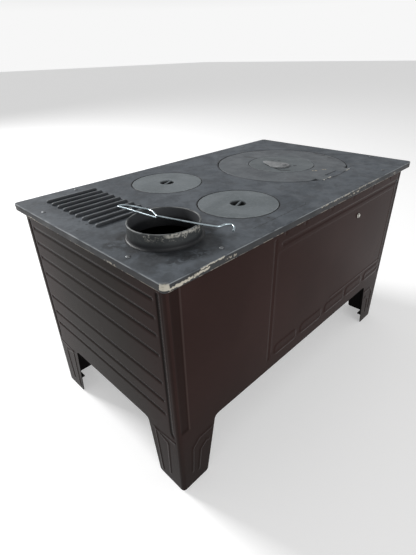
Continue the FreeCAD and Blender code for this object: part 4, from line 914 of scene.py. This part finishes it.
# the line is a painted shadow beside the swivel cover; the dots are soot
centre_iron = lid_paint("centre_lid_iron", RING, CENTRE_LID, (-60, 80), 0.8,
                        line=((-164, -12), (-155, 12), (-145, 38), (-139, 57), (-153, 75)),
                        dots=((-206, -19), (-221, -7), (-202, 58)))
dress(make_centre_lid(), "centre_lid_body", centre_iron, "cast_lid", "centre_lid")


COVER_TOP = 515.3
AXIS = 0.01                   # the radius that stands for a turned piece's own axis


def make_cover():
    """Two rounded ends joined by straight sides."""
    x, y = RING[:2]
    head_x, head_y, head = x + 22, y + 9, 27
    tail_x, tail_y, tail = x + 16, y - 40, 8
    run = math.hypot(tail_x - head_x, tail_y - head_y)
    heading = math.degrees(math.atan2(tail_y - head_y, tail_x - head_x))
    lean = math.degrees(math.acos((head - tail) / run))
    loop = arc(head_x, head_y, head, heading + lean, heading + 360 - lean, 40)
    loop += arc(tail_x, tail_y, tail, heading - lean, heading + lean, 16)
    build = Build()
    flat_piece(build, loop, [], PLATE_TOP + 0.4, COVER_TOP, 0.8)
    return to_object("swivel_cover_look", build)


dress(make_cover(), "cover", cover_steel, "bare_steel", "swivel_cover")


def dome(build, x, y, low, radius, height):
    """A round head: a low dome on a short cylinder."""
    wall, turns = 0.35, 5
    profile = [(AXIS, low), (radius, low), (radius, low + height * wall)]
    for step in range(1, turns + 1):
        angle = math.pi / 2 * step / turns
        rise = wall + (1 - wall) * math.sin(angle)
        profile.append((max(AXIS, radius * math.cos(angle)), low + height * rise))
    build.lathe(profile, x, y, sides=24)


def rod(build, x, y, radius, low, high, sides):
    """A plain upright cylinder."""
    build.lathe([(AXIS, low), (radius, low), (radius, high), (AXIS, high)], x, y, sides=sides)


def make_rivet():
    low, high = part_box("cover_rivet")
    x, y = (low.x + high.x) / 2 / MM, (low.y + high.y) / 2 / MM
    under = 502
    build = Build()
    dome(build, x, y, COVER_TOP + 0.3, 6.5, 2.5)
    rod(build, x, y, 4, under, COVER_TOP + 0.4, 24)
    rod(build, x, y, 6, under, under + 2.4, 24)
    return to_object("cover_rivet_look", build)


dress(make_rivet(), "centre_lid_body", cover_steel, "bare_steel", "cover_rivet")


POCKET = 17                   # radius of the lifter's pocket
BAR_HEADING = 22              # direction of the bar across it, in degrees


def make_lid(x, y, radius):
    """A small lid: a disc with a sunk pocket in its middle."""
    floor, under, edge = 501, 504.3, 1.4
    cup = POCKET + 4
    profile = [(AXIS, floor - 3), (cup, floor - 3), (cup, under), (radius, under)]
    profile += arc(radius - edge, PLATE_TOP - edge, edge, 0, 90, 4)
    profile += [(radius - edge - 0.6, PLATE_TOP), (POCKET + 1.6, PLATE_TOP), (POCKET + 1, PLATE_TOP)]
    profile += [(POCKET + 0.3, PLATE_TOP - 0.4), (POCKET, PLATE_TOP - 1.2), (POCKET, floor), (AXIS, floor)]
    build = Build()
    build.lathe(profile, x, y, sides=128)
    return build


def make_bar(x, y):
    """The bar across a lid's pocket, with its upper edges eased."""
    heading = math.radians(BAR_HEADING)
    ux, uy = math.cos(heading), math.sin(heading)
    half, low, shoulder, top = 2.4, 507.1, 510, 511
    section = [(-half, low), (half, low), (half, shoulder),
               (half - 1, top), (-half + 1, top), (-half, shoulder)]
    build = Build()
    rings = []
    for reach in (-POCKET - 0.6, POCKET + 0.6):
        rings.append(build.ring([(x + ux * reach - uy * across, y + uy * reach + ux * across, z)
                                 for across, z in section]))
    build.bridge(rings)
    build.fill([rings[0]])
    build.fill([rings[1]], turned=True)
    return build


for lid_name, (lid_x, lid_y, lid_radius) in zip(("back_lid", "front_lid"), LIDS):
    lid_iron = lid_paint(lid_name + "_iron", (lid_x, lid_y), lid_radius, (20, 110))
    lid_body = lid_name + "_body"
    lid_pieces = (("_look", make_lid(lid_x, lid_y, lid_radius)), ("_bar", make_bar(lid_x, lid_y)))
    for ending, lid_build in lid_pieces:
        dress(to_object(lid_name + ending, lid_build), lid_body, lid_iron, "cast_lid", lid_name)


def solids_of(name):
    """Lowest and highest corners, in millimetres, of the separate solids in one CAD node."""
    mesh = nodes[name].data
    parent = list(range(len(mesh.vertices)))

    def root(i):
        while parent[i] != i:
            parent[i] = parent[parent[i]]
            i = parent[i]
        return i

    spots = {}
    for vertex in mesh.vertices:
        key = tuple(round(value, 5) for value in vertex.co)
        first = spots.setdefault(key, vertex.index)
        parent[root(vertex.index)] = root(first)
    for edge in mesh.edges:
        parent[root(edge.vertices[0])] = root(edge.vertices[1])
    groups = {}
    for vertex in mesh.vertices:
        groups.setdefault(root(vertex.index), []).append(vertex.co / MM)
    found = []
    for points in groups.values():
        low = [min(point[axis] for point in points) for axis in range(3)]
        high = [max(point[axis] for point in points) for axis in range(3)]
        found.append((low, high))
    return found


def make_top_screws():
    build = Build()
    for low, high in solids_of("top_screws"):
        x, y = (low[0] + high[0]) / 2, (low[1] + high[1]) / 2
        dome(build, x, y, PLATE_TOP, 3.9, 2.0)
        rod(build, x, y, 2, low[2], PLATE_TOP, 16)
    return to_object("top_screws_look", build)


dress(make_top_screws(), "root", dark_steel, "bare_steel", "top_screws")


# ---------------------------------------------------------------- lid lifter

LIFTER_ROUTE = [        # from the collar's centre, up from the wire's own height on the rim
    (6, -12, 0), (13.5, -90, 0), (17.5, -109, 0), (12, -114, 0), (4, -106, 0), (-1.5, -90, 0),
    (-10.5, -50, 0), (-7, -36, 0), (0.5, -19, 0), (-2.5, -8, 0), (-23, 64, 0), (-35, 95, 0),
    (-50, 95, 0), (-57.5, 103, 0), (-53, 113, -1), (-45, 117, -4),
]
WIRE_RADIUS = 1.6


def bent_route(points):
    """Straight runs joined by tangent arcs."""
    share, turns = 0.42, 8
    spots = [Vector(point) for point in points]
    route = [spots[0]]
    for before, corner, after in zip(spots, spots[1:], spots[2:]):
        back, ahead = (before - corner).normalized(), (after - corner).normalized()
        cut = share * min((before - corner).length, (after - corner).length)
        half = back.angle(ahead) / 2
        radius = cut * math.tan(half)
        centre = corner + (back + ahead).normalized() * (radius / math.sin(half))
        start = (corner + back * cut - centre).normalized()
        end = (corner + ahead * cut - centre).normalized()
        for step in range(turns + 1):
            route.append(centre + start.slerp(end, step / turns, start) * radius)
    route.append(spots[-1])
    return route


def make_lifter():
    base = Vector((*COLLAR[:2], COLLAR_TOP + WIRE_RADIUS + 0.3))
    build = Build()
    build.tube([base + point for point in bent_route(LIFTER_ROUTE)], WIRE_RADIUS - 0.01)
    return to_object("lid_lifter_look", build, 60)


dress(make_lifter(), "lifter", wire_steel, "wire", "lid_lifter")


# ---------------------------------------------------------------- pressed panels

CORNER = 8
ARC_LENGTH = CORNER * math.pi / 2
FLAT_END = FACE_X - CORNER               # where a long panel starts to roll round the corner
ROLL_END = FLAT_END + ARC_LENGTH
WRAP_END = ROLL_END + 4                  # the end of its return on the end face
LONG_LEG = (358, 331)                    # inner edge of a leg at the foot and at the crotch
END_LEG = (164, 144)
FOOT_ROUND = 5.0
CROTCH_ROUND = 9.0


def leg_edge(z, leg):
    """Inner edge of a leg at height z: slanted, rounded at the foot and at the crotch."""
    foot, top = leg
    edge = foot + (top - foot) * z / LEG_TOP
    if z < FOOT_ROUND:
        edge += FOOT_ROUND - math.sqrt(FOOT_ROUND ** 2 - (FOOT_ROUND - z) ** 2)
    rise = z - (LEG_TOP - CROTCH_ROUND)
    if rise > 0:
        edge -= CROTCH_ROUND - math.sqrt(max(0.0, CROTCH_ROUND ** 2 - rise ** 2))
    return edge


def sheet_panel(build, columns, rows, leg, spot, height, windows=()):
    """A wall with two legs, as a grid of cells along the sheet (s) and up it (z).

    spot(s) gives a place in plan and its outward normal; height(s, z) lifts it along that.
    """
    crotch = leg_edge(LEG_TOP, leg)
    marks = sorted(set(columns + [-crotch, crotch]))
    end = marks[-1]
    points = {}

    def corner(i, z, side):
        """The point of column line i at z, on the outer skin (side 0) or the inner one (side 1)."""
        key = (i, z, side)
        if key not in points:
            s = marks[i]
            if z < LEG_TOP:
                s = math.copysign(end - (end - abs(s)) * (end - leg_edge(z, leg)) / (end - crotch), s)
            (x, y), (nx, ny) = spot(s)
            lift = height(s, z) - side * GAUGE
            points[key] = build.ring([(x + nx * lift, y + ny * lift, z)])[0]
        return points[key]

    def is_open(i, low, high):
        s, z = (marks[i] + marks[i + 1]) / 2, (low + high) / 2
        if z < LEG_TOP and abs(s) < crotch:
            return True
        return any(x[0] < s < x[1] and level[0] < z < level[1] for x, level in windows)

    bands = list(zip(rows, rows[1:]))
    solid = {(i, row) for row, band in enumerate(bands) for i in range(len(marks) - 1)
             if not is_open(i, *band)}
    for i, row in sorted(solid):
        low, high = bands[row]
        around = ((i, low), (i + 1, low), (i + 1, high), (i, high))
        build.faces.append(tuple(corner(*place, 0) for place in around))
        build.faces.append(tuple(corner(*place, 1) for place in reversed(around)))
        neighbours = ((i, row - 1), (i + 1, row), (i, row + 1), (i - 1, row))
        for neighbour, start, stop in zip(neighbours, around, around[1:] + around[:1]):
            if neighbour not in solid:
                build.faces.append((corner(*stop, 0), corner(*start, 0), corner(*start, 1), corner(*stop, 1)))


def long_spot(side):
    """Where a long panel's skin runs: flat, then round the corner and onto the end face."""
    def spot(s):
        reach = abs(s)
        way = 1 if s >= 0 else -1
        if reach <= FLAT_END:
            x, y, nx, ny = s, FACE_Y, 0.0, 1.0
        elif reach <= ROLL_END:
            angle = (reach - FLAT_END) / CORNER
            nx, ny = way * math.sin(angle), math.cos(angle)
            x, y = way * FLAT_END + CORNER * nx, FACE_Y - CORNER + CORNER * ny
        else:
            x, y, nx, ny = way * FACE_X, FACE_Y - CORNER - (reach - ROLL_END), float(way), 0.0
        return (x, MID_Y + side * y), (nx, side * ny)
    return spot


def corner_channel(reach, z):
    """The upright channel pressed beside each corner."""
    low, high = CORNER_CHANNEL
    across = smooth(reach, low - 3.5, low + 0.5) * (1 - smooth(reach, high - 0.5, high + 4.5))
    along = smooth(z, 171, 178) * (1 - smooth(z, 486, 492))
    return -1.4 * across * along


# Lines pressed into the sheet: their spots, half their width, and their lift in the middle.
LEG_BEADS = [([(400, 40), (396, 108), (378, 126), (342, 127)], 4.0, 1.3),
             ([(383, 32), (376, 88), (358, 102), (352, 98)], 4.0, 1.3)]
BACK_LINES = [([(159, 184), (159, 475)], 6.5, -1.4),
              ([(-105, 222), (-398, 222)], 3.5, 0.9),
              ([(-385, 196), (-320, 196)], 4.0, -0.7)]
BACK_LINES += [([(x, 480), (x - 4, 492)], 4.5, -1.1) for x in (129, 59, -45, -144, -247, -350)]
END_LINES = [([(-GROOVE_REACH, level), (GROOVE_REACH, level)], 6.0, -1.4) for level in END_GROOVES]
END_LINES += [([(GROOVE_UPRIGHT, 478), (GROOVE_UPRIGHT, 170), (GROOVE_UPRIGHT + 4.5, 158)], 5.5, -1.4),
              ([(176, 12), (166, 137), (204, 124), (201, 26)], 4.0, 1.3),
              ([(160, 137), (226, 143)], 3.5, 0.9)]
LOW_PADS = ((48, 138), (-68, 33), (-186, -81), (-291, -193), (-400, -305))
FIELD = (-398, 151)                      # the large pressed field of the back


def pressed(x, z, lines):
    return sum(lift * bump(to_path(x, z, path), half) for path, half, lift in lines)


def front_height(x, z):
    """Lift of the front's skin: the corner channels, and two beads in each leg."""
    return corner_channel(abs(x), z) + pressed(abs(x), z, LEG_BEADS)


def back_height(x, z):
    """Lift of the back's skin: as the front, with its lines, a long bar, the field and the low pads."""
    lift = front_height(x, z) + pressed(x, z, BACK_LINES)
    lift -= 1.3 * (1 - smooth(to_segment(x, z, 134, 462, -410, 462), 2.6, 6.0))
    lift -= 0.6 * (1 - smooth(in_box(x, z, *FIELD, 188, 448.5, 13), -2.6, 0.0))
    for low_x, high_x in LOW_PADS:
        lift += 1.3 * (1 - smooth(in_box(x, z, low_x, high_x, 179, 212, 12), -4.5, 0.0))
    return lift


def end_height(y, z):
    """Lift of an end's skin; y from the middle of the plate."""
    return pressed(abs(y), z, END_LINES)


TOP_EDGE = 503.5
LEG_ROWS = steps([0, 5, LEG_TOP - 9, LEG_TOP], 3, [(0, 5), (LEG_TOP - 9, LEG_TOP)], 1.5)


def wall_rows(stops, coarse, fine_zones, fine):
    """Grid levels of a panel: the legs' own, then the wall's."""
    return LEG_ROWS + steps(stops, coarse, fine_zones, fine)[1:]


def long_columns(extra_stops, zones):
    half = [leg_edge(LEG_TOP, LONG_LEG), FLAT_END, ROLL_END, WRAP_END]
    stops = sorted(set([-value for value in half] + half + extra_stops))
    return steps(stops, 5, [(-WRAP_END, -330), (330, WRAP_END)] + zones, 2)


TOP_FLANGE = (PLATE_UNDER - GAUGE, PLATE_UNDER - 0.1)
LOW_FLANGE = (LEG_TOP, LEG_TOP + GAUGE)


def long_flanges(build, side):
    """The turned-in edges above and below, half hidden in the skin."""
    for half, depth, levels in ((398, 26, TOP_FLANGE), (320, 20, LOW_FLANGE)):
        y = sorted(MID_Y + side * (FACE_Y - inset) for inset in (depth, 0.8))
        build.box((-half, half), y, levels)


def make_back_panel():
    build = Build()
    zones = [(150, 170)]
    for low, high in LOW_PADS:
        zones += [(low, low + 14), (high - 14, high)]
    rows = wall_rows([LEG_TOP, TOP_EDGE], 5, [(177, 228), (430, 500)], 1.8)
    sheet_panel(build, long_columns(list(FIELD), zones), rows, LONG_LEG, long_spot(1), back_height)
    long_flanges(build, 1)
    return to_object("back_panel_look", build, 50)


dress(make_back_panel(), "root", brown, "brown_enamel", "back_panel")


WINDOWS = [((-356, -134), (278, 432)), ((-344, -156), (162, 236)), ((-48, 388), (206, 428))]


def make_front_panel():
    build = Build()
    stops = [edge for x, _ in WINDOWS for edge in x]
    levels = sorted([edge for _, z in WINDOWS for edge in z] + [LEG_TOP, TOP_EDGE])
    rows = wall_rows(levels, 6, [], 3)
    sheet_panel(build, long_columns(stops, []), rows, LONG_LEG, long_spot(-1), front_height, WINDOWS)
    long_flanges(build, -1)
    return to_object("front_panel_look", build, 50)


dress(make_front_panel(), "root", brown, "brown_enamel", "front_panel")


def make_end_panel(side):
    build = Build()
    crotch = leg_edge(LEG_TOP, END_LEG)
    columns = steps([-SEAM, -crotch, crotch, SEAM], 8, [(150, SEAM), (-SEAM, -150)], 1.8)
    fine = [(level - 7, level + 7) for level in END_GROOVES] + [(140, 162), (472, 486)]
    rows = wall_rows([LEG_TOP, TOP_EDGE], 6, fine, 1.2)

    def spot(s):
        return (side * FACE_X, MID_Y + s), (float(side), 0.0)

    sheet_panel(build, columns, rows, END_LEG, spot, end_height)
    x = sorted(side * (FACE_X - inset) for inset in (20, 0.8))
    for half, levels in ((205, TOP_FLANGE), (138, LOW_FLANGE)):
        build.box(x, (MID_Y - half, MID_Y + half), levels)
    return build


for panel_name, panel_side in (("flue_end_panel", 1), ("fire_end_panel", -1)):
    panel = to_object(panel_name + "_look", make_end_panel(panel_side), 50)
    dress(panel, "root", brown, "brown_enamel", panel_name)


# ---------------------------------------------------------------- the remaining pieces

STEEL = (steel, "bare_steel")
SHEET = (black_sheet, "black_sheet")
FIRE = (fire_iron, "fire_casting")
KNOB = (phenolic, "black_knob")
BROWN_DOOR = (door_brown, "brown_enamel")
GREY = (grey_speckle, "grey_enamel")

SOFT_NODES = [          # body, material and slot, and each node with the size of its rounded edges
    ("root", STEEL, {"ring_hinge_pin": 0.4, "top_nuts": 0.3, "panel_nuts": 0.3, "lining_screw": 0.4}),
    ("root", SHEET, {"base_sheet": 0.3, "corner_angles": 0.3, "foot_plates": 0.6}),
    ("root", FIRE, {"firebox_floor": 1.0, "back_lining": 1.0, "fire_end_lining": 1.0,
                    "oven_side_lining": 1.0, "front_lining": 1.0}),
    ("root", SHEET, {"ash_channel": 0.3}),
    ("root", FIRE, {"fuel_door_frame": 1.2}),
    ("root", STEEL, {"fuel_hinge_pins": 0.4}),
    ("root", SHEET, {"oven_box": 0.3, "shelf_runners": 0.3, "oven_hinge_brackets": 0.5}),
    ("root", STEEL, {"oven_hinge_pins": 0.4}),
    ("grate_body", FIRE, {"grate": 0.8}),
    ("fuel_door_body", FIRE, {"fuel_door": 1.2, "fuel_door_shield": 0.5}),
    ("latch", FIRE, {"fuel_door_latch": 0.8}),
    ("latch", KNOB, {"latch_grip": 0.5}),
    ("drawer", SHEET, {"ash_drawer": 0.3}),
    ("drawer", BROWN_DOOR, {"ash_drawer_front": 1.0}),
    ("drawer", KNOB, {"ash_drawer_knob": 0.5}),
    ("air_plate", STEEL, {"air_slider": 0.4}),
    ("oven_door_body", BROWN_DOOR, {"oven_door": 1.6}),
    ("oven_door_body", GREY, {"oven_door_liner": 0.5}),
    ("oven_door_body", (chrome, "chrome"), {"oven_door_handle": 1.0}),
    ("shelf", (wire_steel, "wire"), {"oven_shelf": 0.0}),
    ("tray", GREY, {"oven_tray": 0.5}),
]

for body_name, (paint, slot_name), edge_sizes in SOFT_NODES:
    for node_name, edge_size in edge_sizes.items():
        dress(soft_copy(node_name, edge_size), body_name, paint, slot_name, node_name)


# ---------------------------------------------------------------- floor, light and camera

def make_floor():
    mesh = bpy.data.meshes.new("floor")
    far = 30.0                # metres
    mesh.from_pydata([(-far, -far, 0), (far, -far, 0), (far, far, 0), (-far, far, 0)], [], [(0, 1, 2, 3)])
    floor = bpy.data.objects.new("floor", mesh)
    bpy.context.scene.collection.objects.link(floor)
    paint = Paint("floor_paint", (0.75, 0.75, 0.75), 0.9)
    paint.set("Emission Color", (1, 1, 1, 1))
    paint.set("Emission Strength", 0.36)
    mesh.materials.append(paint.material)


def area_light(name, place, target, size, power):
    data = bpy.data.lights.new(name, "AREA")
    data.shape = "RECTANGLE"
    data.size, data.size_y = size
    data.energy = power
    lamp = bpy.data.objects.new(name, data)
    lamp.location = place
    lamp.rotation_mode = "QUATERNION"
    lamp.rotation_quaternion = (Vector(target) - Vector(place)).to_track_quat("-Z", "Y")
    bpy.context.scene.collection.objects.link(lamp)


def make_world(overhead, horizon):
    """An even white studio, brighter low down where its walls are."""
    world = bpy.data.worlds.new("studio")
    bpy.context.scene.world = world
    world.use_nodes = True
    tree = world.node_tree
    sky = tree.nodes["Background"]
    sky.inputs["Color"].default_value = (1, 1, 1, 1)
    direction = tree.nodes.new("ShaderNodeTexCoord")
    parts = tree.nodes.new("ShaderNodeSeparateXYZ")
    fade = tree.nodes.new("ShaderNodeMapRange")
    for socket, value in (("From Min", 0.08), ("From Max", 0.3), ("To Min", horizon), ("To Max", overhead)):
        fade.inputs[socket].default_value = value
    tree.links.new(direction.outputs["Generated"], parts.inputs["Vector"])
    tree.links.new(parts.outputs["Z"], fade.inputs["Value"])
    tree.links.new(fade.outputs["Result"], sky.inputs["Strength"])


CAMERA_PLACE = (0.7047, 0.6299, 0.7814)
CAMERA_LOOK = (-0.60521, -0.61388, -0.50683)
CAMERA_UP = (-0.37564, -0.34111, 0.86171)


def make_camera():
    data = bpy.data.cameras.new("camera")
    data.lens = 24.78
    data.sensor_width = 36
    data.sensor_fit = "AUTO"
    data.clip_start = 0.05
    data.clip_end = 100
    camera = bpy.data.objects.new("camera", data)
    bpy.context.scene.collection.objects.link(camera)
    bpy.context.scene.camera = camera
    forward = Vector(CAMERA_LOOK).normalized()
    right = forward.cross(Vector(CAMERA_UP)).normalized()
    turn = Matrix((right, right.cross(forward), -forward)).transposed().to_4x4()
    camera.matrix_world = Matrix.Translation(CAMERA_PLACE) @ turn


make_floor()
make_world(overhead=0.36, horizon=0.93)
area_light("key", (1.1, -4.1, 2.9), (0, 0, 0.4), (1.3, 1.3), 225)
area_light("sky", (0.2, 0.3, 3.0), (0, 0, 0.4), (3.0, 3.0), 8)
area_light("back fill", (0.9, 3.4, 1.3), (0, 0, 0.3), (2.0, 1.2), 36)
make_camera()
bpy.context.scene.view_settings.view_transform = "Standard"
